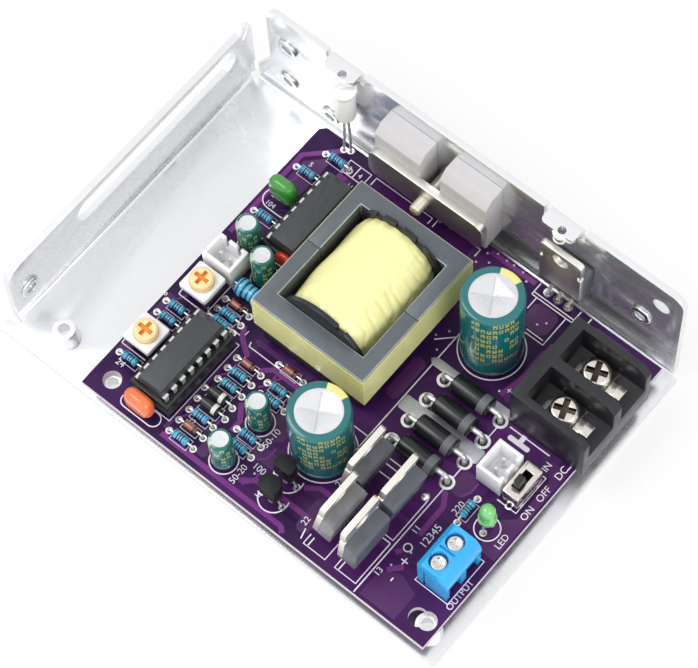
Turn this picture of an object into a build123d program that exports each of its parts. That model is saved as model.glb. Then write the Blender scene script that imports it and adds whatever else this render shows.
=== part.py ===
from build123d import *
import math
import os

os.makedirs("parts", exist_ok=True)

# Sizes in millimetres. Component places are measured from the front left corner
# of the circuit board, on its top face; +X along the back wall, +Y to the wall.

# Tray, one folded aluminium sheet
SHEET = 1.5
BEND_IN = 1.0
FLOOR_LEFT = -23.5
FLOOR_RIGHT = 91.3
FLOOR_DROP = 6.0
BACK_HEIGHT = 32.5
LEFT_HEIGHT = 20.0
BACK_LEFT = -16.8
BACK_SHOULDER = -21.6
BACK_RIGHT = 89.8
LEFT_FRONT = 4.0
LEFT_END_GAP = 1.1
SLOT_FRONT = 24.5
SLOT_REAR_GAP = 6.5
SLOT_LOW = 4.3
SLOT_HIGH = 11.0
FOLD_SLIT = (48.7, 52.8)
RELIEF_D = 2.4
COVER_TABS = [(0.4, 8.4), (56.5, 64.7)]
TAB_REACH = 2.8
TAB_HOLE = 1.8
TAB_HOLE_IN = 4.9
COLLAR_D = 3.8
COLLAR_DROP = 1.0
# Pressed nuts of the back wall, (x, how far below its top)
NUT_PLACES = [(-11.4, 10.2), (-12.0, 24.0), (-0.6, 26.2), (80.5, 16.2)]
NUT_LEFT = (8.8, 1.4)
NUT_SHANK = 4.2
NUT_FLANGE = 5.0
NUT_PROUD = 0.6
THREAD = 2.5
WALL_HOLE = (84.8, 7.0, 4.0)
BAY_BOSS = (-11.3, 6.9)
BOSS_BASE = 6.2
BOSS_TOP = 4.8

# Circuit board
BOARD_X = 88.9
REAR_STRIP = 11.5
WALL_GAP = 3.35
BOARD_T = 1.6
BOARD_HOLE = 4.0
HOLE_IN = (4.6, 4.2)
REAR_HOLE_IN = (4.6, 4.45)
SECOND_HOLE = (1.9, 0.5)
CLIP = 1.1

# Transformer
TR_X = 35.1
TR_Y = 47.15
TR_AXIS_Z = 11.2
CORE_X = 28.6
CORE_Y = 34.0
CORE_H = 11.4
CORE_BACK = 4.25
CORE_LEG = 3.4
CORE_POST = 9.9
TAPE = 0.15
COIL_D = 20.4
FLANGE_T = 1.0
FLANGE_D = 21.2
NOTCH = 1.8
NOTCH_STEP = 5.0
RAIL_LOW = 0.8
TR_PIN_PITCH = 4.0
TR_PINS = 6

# Capacitors
BULK_D = 13.0
BULKS = [(59.7, 57.7, 25.0), (47.6, 19.3, 20.0)]
BULK_DISC = 9.8
BULK_PITCH = 5.0
SMALL_D = 5.0
SMALL_H = 11.0
SMALL_DISC = 3.6
SMALL_PITCH = 2.0
SMALLS = [(6.9, 44.5), (13.9, 40.8), (34.0, 15.9), (33.6, 5.2)]
SLEEVE = 0.2

# Chips in sockets
CHIPS = [(14.15, 15.4), (14.3, 55.6)]
PITCH = 2.54
ROW = 7.62
CHIP_PINS = 8
SOCKET_W = 10.0
SOCKET_L = 20.6
SOCKET_Z0 = 0.5
SOCKET_Z1 = 4.7
CHIP_W = 6.5
CHIP_L = 19.3
CHIP_Z0 = 5.0
CHIP_Z1 = 8.3
SOCKET_WINDOW = (4.6, 4.4)
WINDOW_STEP = 6.0

# Trimming potentiometers
POTS = [(6.5, 30.4), (5.2, 14.75)]
POT_SIDE = 6.9
POT_H = 5.9
POT_PLATE = 1.5
POT_STEP = 0.7
DIAL_D = 5.0
DIAL_DEEP = 1.6
DIAL_UP = 1.9
DIAL_CROSS = 0.9
TURN_FIT = 0.05
MOVE_GAP = 0.3

# White plug headers; the second stands beside the switch
HEADER_AT = (6.25, 37.9)
HEADER_GAP = 0.7
HEADER_L = 7.6
HEADER_W = 6.0
HEADER_H = 7.0
HEADER_WALL = 0.8

# Slide switch
SW_IN = 5.35
SW_Y = 37.4
SW_W = 3.9
SW_L = 8.2
SW_TOP = 5.5
SW_BASE_TOP = 2.2
SW_SHELL = 0.3
SW_TRAVEL = 2.0
KNOB_W = 1.4
KNOB_L = 2.0
KNOB_TOP = 8.6

# Input barrier terminal
BAR_OVER = 1.8
BAR_DEEP = 18.3
BAR_Y0 = 47.4
BAR_Y1 = 68.7
BAR_H = 14.3
BAR_BACK = 2.6
BAR_END = 1.6
BAR_DIVIDER = 2.4
BAR_DECK = 6.4
BAR_SCREW_IN = 9.1
BAR_SCREW_D = 6.8
PLATE_W = 6.6
TONGUE_W = 3.0
TONGUE_OUT = 6.6

# Output terminal block
OUT_IN = 2.4
OUT_DEEP = 7.2
OUT_FLAT = 5.9
OUT_SKIRT = 5.0
OUT_EDGE = 1.1
OUT_END = 0.25
OUT_Y = 15.45
OUT_PITCH = 5.08
OUT_H = 10.0
OUT_SCREW_IN = 3.1
OUT_SCREW_D = 3.4
OUT_SCREW_TOP = 8.8

# Indicator
LED_IN = 5.7
LED_Y = 26.9
LED_D = 3.0
LED_FLANGE = 3.8
LED_Z0 = 5.2
LED_TOP = 10.6

# Rectifier diodes
DIODE_YS = [46.3, 40.7, 34.95, 29.5]
DIODE_X0 = 56.7
DIODE_X1 = 71.0
DIODE_D = 4.5
DIODE_L = 9.2
DIODE_LEAD = 1.2

# Power transistors on the board: leg x, centre y, lean in degrees
LEANERS = [(57.7, 19.75, 11.0), (66.1, 19.2, 11.5), (59.7, 9.05, 11.0), (67.4, 7.8, 6.5)]
TAB_W = 10.2
TAB_T = 1.3
CASE_T = 4.5
CASE_H = 9.2
FULL_H = 15.4
LEG_BACK = 2.6
LEG_T = 0.5
LEG_W = 0.8
TAB_BORE = 3.7
CASE_LIFT = 4.7
TAB_CORNER = 0.6
UPRIGHT_X = 63.4
UPRIGHT_LIFT = 5.4
UPRIGHT_GAP = 0.2

# Capped transistors on the wall
CAP_XS = [22.45, 39.35]
CAP_W = 11.9
CAP_DEEP = 5.6
CAP_WALL = 0.55
CAP_Z0 = 2.2
CAP_Z1 = 20.3
CAP_CHAMFER = 2.0
CLAMP_Z0 = 4.8
CLAMP_Z1 = 13.6
CLAMP_T = 1.8
CLAMP_OVER = 0.8
CLAMP_ROD = 3.0
CLAMP_TIP = 3.6

# Thermal sensor
HEAT_X = 6.5
HEAT_D = 4.6
HEAT_RIM = 5.4
HEAT_L = 11.0
HEAT_RIM_T = 1.0
HEAT_PADS = [(7.3, 5.1), (8.6, 4.5)]

# Small parts
TO92S = [(46.5, 4.9), (46.1, 9.9)]
TO92_Z0 = 3.4
TO92_L = 4.7
RESISTORS = [
    (5.3, 64.6), (8.2, 70.7), (5.0, 51.3), (13.8, 29.6), (13.6, 27.3), (4.6, 24.3), (4.8, 21.2),
    (4.8, 9.7), (24.15, 20.9), (24.25, 17.8), (24.15, 9.1), (24.1, 3.1), (34.4, 11.9),
    (34.3, 9.0), (32.6, 23.4), (33.0, 20.7),
]
LAMP_RESISTOR_IN = 11.0
LAMP_RESISTOR_Y = 27.3
RES_PITCH = 6.35
RES_L = 3.7
RES_D = 1.9
BLACK_DIODES = [(23.9, 14.7), (24.35, 11.95)]
GLASS_DIODES = [(24.2, 23.7), (24.1, 6.1), (13.8, 32.2), (31.8, 27.9)]
GLASS_D = 1.5
GLASS_L = 3.4
RINGED = (15.0, 35.6)
RINGED_L = 7.4
RINGED_D = 4.2
ORANGE = (13.7, 2.8)
GREEN = (5.4, 56.9)

# Derived
BOARD_Y = TR_Y + CORE_Y / 2 + REAR_STRIP
WALL_IN = BOARD_Y + WALL_GAP
TRAY_DEPTH = WALL_IN + SHEET
CENTRE_X = (FLOOR_LEFT + FLOOR_RIGHT) / 2
CENTRE_Y = TRAY_DEPTH / 2
BASE_Z = -FLOOR_DROP - SHEET
WALL_TOP = BASE_Z + BACK_HEIGHT
LEFT_REAR = TRAY_DEPTH - LEFT_END_GAP
SLOT_REAR = TRAY_DEPTH - SLOT_REAR_GAP
BOARD_HOLES = [
    HOLE_IN, (BOARD_X - HOLE_IN[0], HOLE_IN[1]),
    (BOARD_X - HOLE_IN[0] + SECOND_HOLE[0], HOLE_IN[1] + SECOND_HOLE[1]),
    (BOARD_X - REAR_HOLE_IN[0], BOARD_Y - REAR_HOLE_IN[1]),
]
BOSS_PLACES = [BAY_BOSS, BOARD_HOLES[0], BOARD_HOLES[2], BOARD_HOLES[3]]
SW_X = BOARD_X - SW_IN
HEADERS = [(*HEADER_AT, False), (SW_X - SW_W / 2 - HEADER_GAP - HEADER_W / 2, SW_Y, True)]
BAR_X1 = BOARD_X + BAR_OVER
BAR_X0 = BAR_X1 - BAR_DEEP
BAR_SCREW_X = BAR_X1 - BAR_SCREW_IN
BAR_TAIL = BAR_SCREW_X - PLATE_W / 2 - 1.2
OUT_X1 = BOARD_X - OUT_IN
OUT_X0 = OUT_X1 - OUT_DEEP
OUT_SCREW_X = OUT_X0 + OUT_SCREW_IN
LED_X = BOARD_X - LED_IN
LAMP_RESISTOR_X = BOARD_X - LAMP_RESISTOR_IN
CAP_PAD_Y = WALL_IN - 5.0
UPRIGHT_FACE_Y = WALL_IN - UPRIGHT_GAP - CASE_T
UPRIGHT_PAD_Y = WALL_IN - 4.4
HEAT_Y = WALL_IN - HEAT_RIM / 2 - 0.3
HEAT_Z1 = WALL_TOP - SHEET - COLLAR_DROP - HEAT_RIM_T - 0.3
HEAT_Z0 = HEAT_Z1 - HEAT_L
BEND_OUT = BEND_IN + SHEET
DATUM = Pos(-CENTRE_X, -CENTRE_Y, -BASE_Z)
holes = []


def save(name, shapes):
    solids = []
    for shape in shapes:
        solids.extend((DATUM * shape).solids())
    group = solids[0] if len(solids) == 1 else Compound(children=solids)
    group.label = name
    export_step(group, "parts/" + name + ".step")


def block(x0, x1, y0, y1, z0, z1):
    box = Box(x1 - x0, y1 - y0, z1 - z0)
    return Pos((x0 + x1) / 2, (y0 + y1) / 2, (z0 + z1) / 2) * box


def post(x, y, d, z0, z1):
    return Pos(x, y, (z0 + z1) / 2) * Cylinder(d / 2, z1 - z0)


def rod_x(x0, x1, y, z, d):
    return Pos((x0 + x1) / 2, y, z) * Rot(0, 90, 0) * Cylinder(d / 2, x1 - x0)


def rod_y(x, y0, y1, z, d):
    return Pos(x, (y0 + y1) / 2, z) * Rot(90, 0, 0) * Cylinder(d / 2, y1 - y0)


def pin(x, y, top, wx, wy):
    """A straight leg that ends under the board; its hole is noted for the board."""
    holes.append((x, y, wx, wy))
    return block(x - wx / 2, x + wx / 2, y - wy / 2, y + wy / 2, -BOARD_T - CLIP, top)


def wire(x0, x1, y, z, w):
    """Two bent ends of one axial part: over, then down through the board."""
    parts = []
    for inner, outer in ((x0[0], x0[1]), (x1[0], x1[1])):
        low = min(inner, outer - w / 2)
        high = max(inner, outer + w / 2)
        arm = block(low, high, y - w / 2, y + w / 2, z - w / 2, z + w / 2)
        parts.append(arm + pin(outer, y, z, w, w))
    return parts


def wire_y(y0, y1, x, z, w):
    """The same for a part that lies along Y."""
    parts = []
    for inner, outer in ((y0[0], y0[1]), (y1[0], y1[1])):
        low = min(inner, outer - w / 2)
        high = max(inner, outer + w / 2)
        arm = block(x - w / 2, x + w / 2, low, high, z - w / 2, z + w / 2)
        parts.append(arm + pin(x, outer, z, w, w))
    return parts


def chassis_tray():
    y_bend = TRAY_DEPTH - BEND_OUT
    x_bend = FLOOR_LEFT + BEND_OUT
    tray = block(x_bend, FLOOR_RIGHT, 0, y_bend, BASE_Z, -FLOOR_DROP)
    tray += block(FLOOR_LEFT, x_bend, 0, LEFT_FRONT - 1.6, BASE_Z, -FLOOR_DROP)
    ring = Cylinder(BEND_OUT, 1) - Cylinder(BEND_IN, 1)
    quarter = ring & Pos(BEND_OUT / 2, -BEND_OUT / 2, 0) * Box(BEND_OUT, BEND_OUT, 1)
    edge = Plane.YZ * make_face_of(quarter)
    back_bend = extrude(Pos(BACK_SHOULDER, y_bend, BASE_Z + BEND_OUT) * edge,
                        BACK_RIGHT - BACK_SHOULDER, dir=(1, 0, 0))
    edge = Plane.XZ * mirror_face(quarter)
    left_bend = extrude(Pos(x_bend, LEFT_FRONT, BASE_Z + BEND_OUT) * edge,
                        LEFT_REAR - LEFT_FRONT, dir=(0, 1, 0))
    tray += back_bend + left_bend
    tray += back_wall() + left_wall()
    tray -= post(FLOOR_LEFT + 1.9, TRAY_DEPTH - 1.9, RELIEF_D, BASE_Z - 1, -1.5)
    for x, y in BOSS_PLACES:
        tray += floor_boss(x, y)
        tray -= boss_hollow(x, y)
    return tray


def make_face_of(solid):
    """The flat end face of a unit-thick solid, seen along its axis."""
    return Pos(0, 0, -0.5) * solid.faces().sort_by(Axis.Z)[-1]


def mirror_face(solid):
    return mirror(make_face_of(solid), about=Plane.YZ)


def back_wall():
    top = WALL_TOP
    low = BASE_Z + BEND_OUT
    outline = Polyline(
        (BACK_SHOULDER, low), (BACK_RIGHT, low), (BACK_RIGHT, top), (BACK_LEFT, top),
        (BACK_LEFT, 5.0), (BACK_SHOULDER, -3.0), close=True)
    face = make_face(outline)
    corners = face.vertices().sort_by(Axis.Y)[-2:]
    face = fillet(corners, 3.0)
    wall = extrude(Pos(0, TRAY_DEPTH, 0) * (Plane.XZ * face), SHEET, dir=(0, -1, 0))
    for x0, x1 in COVER_TABS:
        for x in (x0 - 0.5, x1 + 0.5):
            wall -= block(x - 0.5, x + 0.5, WALL_IN - 1, TRAY_DEPTH + 1, top - 3.2, top + 1)
        tab = block(x0, x1, WALL_IN - TAB_REACH, WALL_IN, top - SHEET, top)
        tips = tab.edges().filter_by(Axis.Z).sort_by(Axis.Y)[:2]
        tab = fillet(tips, 1.2)
        wall += tab
        fold = wall.edges().filter_by(Axis.X)
        fold = fold.filter_by_position(Axis.Y, TRAY_DEPTH - 0.1, TRAY_DEPTH + 0.1)
        fold = fold.filter_by_position(Axis.Z, top - 0.1, top + 0.1)
        fold = fold.filter_by_position(Axis.X, x0, x1)
        wall = fillet(fold, 1.2)
        spot = (x0 + TAB_HOLE_IN, WALL_IN - COLLAR_D / 2)
        wall += post(*spot, COLLAR_D, top - SHEET - COLLAR_DROP, top - SHEET / 2)
        wall -= post(*spot, TAB_HOLE, top - 5, top + 1)
    for x, down in NUT_PLACES:
        wall -= rod_y(x, WALL_IN - 1, TRAY_DEPTH + 1, top - down, NUT_SHANK)
    x, down, d = WALL_HOLE
    wall -= rod_y(x, WALL_IN - 1, TRAY_DEPTH + 1, top - down, d)
    rod_place = sum(CAP_XS) / 2
    z = (CLAMP_Z0 + CLAMP_Z1) / 2
    wall -= rod_y(rod_place, WALL_IN - 1, TRAY_DEPTH + 1, z, CLAMP_ROD)
    return wall


def left_wall():
    top = BASE_Z + LEFT_HEIGHT
    low = BASE_Z + BEND_OUT
    x0 = FLOOR_LEFT
    wall = block(x0, x0 + SHEET, LEFT_FRONT, LEFT_REAR, low, top)
    front_top = wall.edges().filter_by(Axis.X).sort_by(Axis.Z)[-2:].sort_by(Axis.Y)[0]
    wall = fillet(front_top, 4.0)
    mid = (SLOT_LOW + SLOT_HIGH) / 2
    high = SLOT_HIGH - SLOT_LOW
    wall -= block(x0 - 1, x0 + 3, SLOT_FRONT + high / 2, SLOT_REAR - high / 2, SLOT_LOW, SLOT_HIGH)
    for y in (SLOT_FRONT + high / 2, SLOT_REAR - high / 2):
        wall -= rod_x(x0 - 1, x0 + 3, y, mid, high)
    notch = Polyline((SLOT_REAR + 1.6, top + 1), (SLOT_REAR + 4.6, top + 1),
                     (SLOT_REAR + 3.1, top - 4), close=True)
    wall -= extrude(Pos(x0 - 1, 0, 0) * (Plane.YZ * make_face(notch)), 4, dir=(1, 0, 0))
    y, z = NUT_LEFT
    wall -= rod_x(x0 - 1, x0 + 3, y, z, NUT_SHANK)
    wall -= block(x0 - 1, x0 + 3, FOLD_SLIT[0], FOLD_SLIT[1], low - 0.1, low + 0.8)
    return wall


def floor_boss(x, y):
    height = FLOOR_DROP - BOARD_T
    cone = Cone(BOSS_BASE / 2, BOSS_TOP / 2, height)
    return Pos(x, y, -FLOOR_DROP + height / 2) * cone


def boss_hollow(x, y):
    height = FLOOR_DROP - BOARD_T
    hollow = Cone(BOSS_BASE / 2 - 0.8, BOSS_TOP / 2 - 0.8, height)
    return Pos(x, y, BASE_Z + height / 2) * hollow + post(x, y, THREAD, BASE_Z, 0)


def clinch_nut():
    """Nut along Z: shank in the sheet, flange on its inner face, threaded bore."""
    nut = Pos(0, 0, -SHEET / 2) * Cylinder(NUT_SHANK / 2, SHEET)
    nut += Pos(0, 0, NUT_PROUD / 2) * Cylinder(NUT_FLANGE / 2, NUT_PROUD)
    rim = nut.edges().filter_by(GeomType.CIRCLE).sort_by(Axis.Z)[-1]
    nut = chamfer(rim, 0.35)
    return nut - Cylinder(THREAD / 2, 3 * SHEET)


def clinch_nuts():
    nuts = [Pos(x, WALL_IN, WALL_TOP - down) * Rot(90, 0, 0) * clinch_nut() for x, down in NUT_PLACES]
    y, z = NUT_LEFT
    nuts.append(Pos(FLOOR_LEFT + SHEET, y, z) * Rot(0, 90, 0) * clinch_nut())
    return nuts


def circuit_board():
    sheet = Pos(BOARD_X / 2, BOARD_Y / 2) * Rectangle(BOARD_X, BOARD_Y)
    corner = sheet.vertices().sort_by(Axis.X)[:2].sort_by(Axis.Y)[-1]
    sheet = chamfer(corner, 1.2)
    cuts = [Pos(x, y) * Rectangle(wx, wy) for x, y, wx, wy in holes]
    cuts += [Pos(x, y) * Circle(BOARD_HOLE / 2) for x, y in BOARD_HOLES]
    return extrude(sheet - cuts, -BOARD_T)


def core_half(side):
    y_end = TR_Y + side * CORE_Y / 2
    y_in = y_end - side * CORE_BACK
    z0 = TR_AXIS_Z - CORE_H / 2
    z1 = z0 + CORE_H
    lo, hi = min(y_end, y_in), max(y_end, y_in)
    half = block(TR_X - CORE_X / 2, TR_X + CORE_X / 2, lo, hi, z0, z1)
    lo, hi = min(TR_Y, y_in), max(TR_Y, y_in)
    for s in (-1, 1):
        xa = TR_X + s * CORE_X / 2
        xb = xa - s * CORE_LEG
        half += block(min(xa, xb), max(xa, xb), lo, hi, z0, z1)
    half += rod_y(TR_X, lo, hi, TR_AXIS_Z, CORE_POST)
    return half


def bobbin():
    y0 = TR_Y - CORE_Y / 2 + CORE_BACK
    y1 = TR_Y + CORE_Y / 2 - CORE_BACK
    gap = 0.1
    tube = rod_y(TR_X, y0 + gap, y1 - gap, TR_AXIS_Z, CORE_POST + 2.0)
    body = tube
    for side, y in ((1, y0 + gap), (-1, y1 - gap)):
        ya, yb = y, y + side * FLANGE_T
        lo, hi = min(ya, yb), max(ya, yb)
        half = FLANGE_D / 2
        flange = block(TR_X - half, TR_X + half, lo, hi, RAIL_LOW, TR_AXIS_Z)
        flange += rod_y(TR_X, lo, hi, TR_AXIS_Z, FLANGE_D)
        for i in (-1, 0, 1) if side < 0 else (1,):
            x = TR_X + i * NOTCH_STEP
            low = TR_AXIS_Z + half - (1.4 if i == 0 else 2.6)
            flange -= block(x - NOTCH / 2, x + NOTCH / 2, lo - 1, hi + 1, low, TR_AXIS_Z + half + 1)
        ra, rb = y, y - side * (CORE_BACK - 0.3)
        rail = block(TR_X - half - 2, TR_X + half + 2, min(ra, rb), max(ra, rb),
                     RAIL_LOW, TR_AXIS_Z - CORE_H / 2 - gap)
        body += flange + rail
    return body - rod_y(TR_X, y0 - 1, y1 + 1, TR_AXIS_Z, CORE_POST + 2 * gap)


def winding():
    inset = CORE_BACK + 0.1 + FLANGE_T
    y0 = TR_Y - CORE_Y / 2 + inset
    y1 = TR_Y + CORE_Y / 2 - inset
    coil = rod_y(TR_X, y0, y1, TR_AXIS_Z, COIL_D)
    coil = chamfer(coil.edges().filter_by(GeomType.CIRCLE), 0.6)
    return coil - rod_y(TR_X, y0 - 1, y1 + 1, TR_AXIS_Z, CORE_POST + 2.0)


def tape_band():
    z0 = TR_AXIS_Z - CORE_H / 2 + 0.5
    inner = Rectangle(CORE_X, CORE_Y)
    outer = Rectangle(CORE_X + 2 * TAPE, CORE_Y + 2 * TAPE)
    outer = fillet(outer.vertices(), TAPE)
    return extrude(Pos(TR_X, TR_Y, z0) * (outer - inner), CORE_H - 1.0)


def transformer_pins():
    legs = []
    first = -(TR_PINS - 1) / 2
    for side in (-1, 1):
        y = TR_Y + side * (CORE_Y / 2 - CORE_BACK / 2)
        for i in range(TR_PINS):
            legs.append(pin(TR_X + (first + i) * TR_PIN_PITCH, y, RAIL_LOW, 0.7, 0.7))
    return legs


def capacitor(x, y, d, h, disc, pitch):
    """One can and its shrink sleeve; the sleeve laps over the rim of the top."""
    inner = d - 2 * SLEEVE
    can = post(x, y, inner, 0.3, h - SLEEVE)
    rim = can.edges().filter_by(GeomType.CIRCLE).sort_by(Axis.Z)[-1]
    can = fillet(rim, 0.5)
    groove = post(x, y, d + 2, 1.6, 2.3) - post(x, y, inner - 0.6, 1.6, 2.3)
    can -= groove
    sleeve = post(x, y, d, 0.3, h)
    rim = sleeve.edges().filter_by(GeomType.CIRCLE).sort_by(Axis.Z)[-1]
    sleeve = fillet(rim, 0.5 + SLEEVE)
    sleeve -= post(x, y, disc, h - 1, h + 1)
    sleeve -= can
    sleeve -= groove
    return can, sleeve


def vent_cross(x, y, top, reach):
    cuts = []
    for turn in (30, 120):
        cuts.append(Pos(x, y, top) * Rot(0, 0, turn) * Box(reach, 0.35, 0.4))
    return cuts


def bulk_capacitors():
    for i, (x, y, h) in enumerate(BULKS):
        can, sleeve = capacitor(x, y, BULK_D, h, BULK_DISC, BULK_PITCH)
        can -= vent_cross(x, y, h - SLEEVE, BULK_DISC - 1.6)
        save("bulk_capacitor_" + str(i + 1) + "_can", [can])
        save("bulk_capacitor_" + str(i + 1) + "_sleeve", sleeve.solids().sort_by(Axis.Z)[-1:])


def small_capacitors():
    cans = []
    sleeves = []
    for x, y in SMALLS:
        inner = SMALL_D - 2 * SLEEVE
        can = post(x, y, inner, 0.3, SMALL_H - SLEEVE)
        sleeve = post(x, y, SMALL_D, 0.3, SMALL_H) - post(x, y, SMALL_DISC, 0, SMALL_H + 1)
        sleeve -= can
        rim = sleeve.edges().filter_by(GeomType.CIRCLE).group_by(Axis.Z)[-1].sort_by(SortBy.LENGTH)
        sleeves.append(chamfer(rim[-1], 0.35))
        cans.append(can)
    return cans, sleeves


def radial_leads():
    legs = []
    for x, y, h in BULKS:
        for dy in (-BULK_PITCH / 2, BULK_PITCH / 2):
            legs.append(pin(x, y + dy, 0.3, 0.7, 0.7))
    for x, y in SMALLS:
        for dy in (-SMALL_PITCH / 2, SMALL_PITCH / 2):
            legs.append(pin(x, y + dy, 0.3, 0.5, 0.5))
    for dx in (-PITCH / 2, PITCH / 2):
        legs.append(pin(LED_X, LED_Y + dx, LED_Z0, 0.5, 0.5))
        legs.append(pin(ORANGE[0] + dx, ORANGE[1], 1.2, 0.5, 0.5))
        legs.append(pin(GREEN[0] + 2 * dx, GREEN[1], 1.2, 0.5, 0.5))
    for x, y in TO92S:
        legs.append(pin(x, y, TO92_Z0, 0.45, 0.45))
        for s in (-1, 1):
            low = Pos(x + s * PITCH, y, 0.6) * Rectangle(0.45, 0.45)
            high = Pos(x + s * PITCH / 2, y, TO92_Z0) * Rectangle(0.45, 0.45)
            legs.append(pin(x + s * PITCH, y, 0.6, 0.45, 0.45) + loft([low, high]))
    return legs


def chip_socket(x, y):
    half = SOCKET_W / 2
    body = block(x - half, x + half, y - SOCKET_L / 2, y + SOCKET_L / 2, SOCKET_Z0, SOCKET_Z1)
    half, reach = SOCKET_WINDOW[0] / 2, SOCKET_WINDOW[1] / 2
    for dy in (-WINDOW_STEP, 0.0, WINDOW_STEP):
        body -= block(x - half, x + half, y + dy - reach, y + dy + reach, SOCKET_Z0 - 1, SOCKET_Z1 + 1)
    for cx, cy in chip_spots(x, y):
        body -= block(cx - 0.5, cx + 0.5, cy - 0.6, cy + 0.6, SOCKET_Z1 - 1.8, SOCKET_Z1 + 1)
    return body


def chip_spots(x, y):
    spots = []
    for side in (-1, 1):
        for i in range(CHIP_PINS):
            spots.append((x + side * ROW / 2, y + (i - (CHIP_PINS - 1) / 2) * PITCH))
    return spots


def chip(x, y):
    z0, z1 = CHIP_Z0, CHIP_Z1
    mid = z0 + 1.6
    low = Pos(x, y, 0) * draft_block(CHIP_W, CHIP_L, z0, mid, False)
    high = Pos(x, y, 0) * draft_block(CHIP_W, CHIP_L, mid, z1, True)
    body = low + high
    body -= post(x, y + CHIP_L / 2, 2.4, z1 - 0.6, z1 + 1)
    body -= post(x - 1.9, y + CHIP_L / 2 - 1.6, 1.1, z1 - 0.2, z1 + 1)
    return body


def draft_block(w, l, z0, z1, narrow_top):
    s = 0.35
    wide = Rectangle(w, l)
    slim = Rectangle(w - 2 * s, l - 2 * s)
    first, last = (wide, slim) if narrow_top else (slim, wide)
    return loft([Pos(0, 0, z0) * first, Pos(0, 0, z1) * last])


def chip_legs():
    legs = []
    z = CHIP_Z0 + 1.6
    for x, y in CHIPS:
        for cx, cy in chip_spots(x, y):
            side = 1 if cx > x else -1
            inner = x + side * CHIP_W / 2
            outer = cx + side * 0.15
            arm = block(min(inner, outer), max(inner, outer), cy - 0.7, cy + 0.7, z - 0.12, z + 0.13)
            drop = block(cx - 0.13, cx + 0.15, cy - 0.5, cy + 0.5, SOCKET_Z1 - 1.4, z - 0.1)
            if side < 0:
                drop = block(cx - 0.15, cx + 0.13, cy - 0.5, cy + 0.5, SOCKET_Z1 - 1.4, z - 0.1)
            legs.append(arm + drop)
    return legs


def socket_pins():
    legs = []
    for x, y in CHIPS:
        for cx, cy in chip_spots(x, y):
            legs.append(pin(cx, cy, SOCKET_Z0, 0.5, 0.5))
    return legs


def trim_pot_body(x, y):
    half = POT_SIDE / 2
    plate = block(x - half, x + half, y - half, y + half, POT_H - POT_PLATE, POT_H)
    plate = chamfer(plate.edges().filter_by(Axis.Z), 0.3)
    half -= POT_STEP
    foot = block(x - half, x + half, y - half, y + half, 0.4, POT_H - POT_PLATE)
    foot -= block(x - half + 0.9, x + half - 0.9, y - half - 1, y - half + 0.7, 0, 2.6)
    well = post(x, y, DIAL_D + 2 * TURN_FIT, POT_H - DIAL_DEEP - MOVE_GAP, POT_H + 1)
    return plate + foot - well


def trim_pot_dial(x, y):
    top = POT_H + DIAL_UP
    dial = post(x, y, DIAL_D, POT_H - DIAL_DEEP, top)
    rim = dial.edges().filter_by(GeomType.CIRCLE).sort_by(Axis.Z)[-1]
    dial = chamfer(rim, 0.35)
    for turn in (0, 90):
        dial -= Pos(x, y, top) * Rot(0, 0, turn) * Box(DIAL_D - 1.6, DIAL_CROSS, 1.6)
    return dial


def pot_pins():
    legs = []
    for x, y in POTS:
        for dx, dy in ((-2.5, -2.0), (2.5, -2.0), (0, 2.2)):
            legs.append(pin(x + dx, y + dy, 0.4, 0.6, 0.6))
    return legs


def plug_header(x, y, turned):
    l, w, t = HEADER_L, HEADER_W, HEADER_WALL
    body = block(-l / 2, l / 2, -w / 2, w / 2, 0.2, HEADER_H)
    body -= block(-l / 2 + t, l / 2 - t, -w / 2 + t, w / 2 - t, 1.6, HEADER_H + 1)
    for dx in (-1.6, 1.6):
        body -= block(dx - 0.5, dx + 0.5, -w / 2 - 1, -w / 2 + t + 0.1, 3.2, HEADER_H + 1)
    spin = 90 if turned else 180
    return Pos(x, y, 0) * Rot(0, 0, spin) * body


def header_pins():
    legs = []
    for x, y, turned in HEADERS:
        for s in (-1.25, 1.25):
            dx, dy = (0, s) if turned else (s, 0)
            leg = pin(x + dx, y + dy, 1.6, 0.64, 0.64)
            legs.append(leg + block(x + dx - 0.32, x + dx + 0.32, y + dy - 0.32, y + dy + 0.32, 1.5, 5.6))
    return legs


def header_bodies():
    bodies = []
    for x, y, turned in HEADERS:
        body = plug_header(x, y, turned)
        for s in (-1.25, 1.25):
            dx, dy = (0, s) if turned else (s, 0)
            body -= block(x + dx - 0.32, x + dx + 0.32, y + dy - 0.32, y + dy + 0.32, 0, 2)
        bodies.append(body)
    return bodies


def switch_base():
    w, l = SW_W / 2 - SW_SHELL, SW_L / 2 - SW_SHELL
    return block(SW_X - w, SW_X + w, SW_Y - l, SW_Y + l, 0.3, SW_BASE_TOP)


def switch_cover():
    w, l = SW_W / 2, SW_L / 2
    cover = block(SW_X - w, SW_X + w, SW_Y - l, SW_Y + l, 0.8, SW_TOP)
    cover = fillet(cover.edges().filter_by(Axis.Z), 0.4)
    iw, il = w - SW_SHELL, l - SW_SHELL
    cover -= block(SW_X - iw, SW_X + iw, SW_Y - il, SW_Y + il, 0, SW_TOP - SW_SHELL)
    half = (KNOB_L + SW_TRAVEL) / 2 + MOVE_GAP
    half_w = KNOB_W / 2 + MOVE_GAP
    cover -= block(SW_X - half_w, SW_X + half_w, SW_Y - half, SW_Y + half, SW_TOP - 1, SW_TOP + 1)
    for s in (-1, 1):
        x = SW_X + s * (w - SW_SHELL / 2)
        cover += pin(x, SW_Y - 2.6, 0.9, SW_SHELL, 0.9)
        cover += pin(x, SW_Y + 2.6, 0.9, SW_SHELL, 0.9)
    return cover


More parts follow.
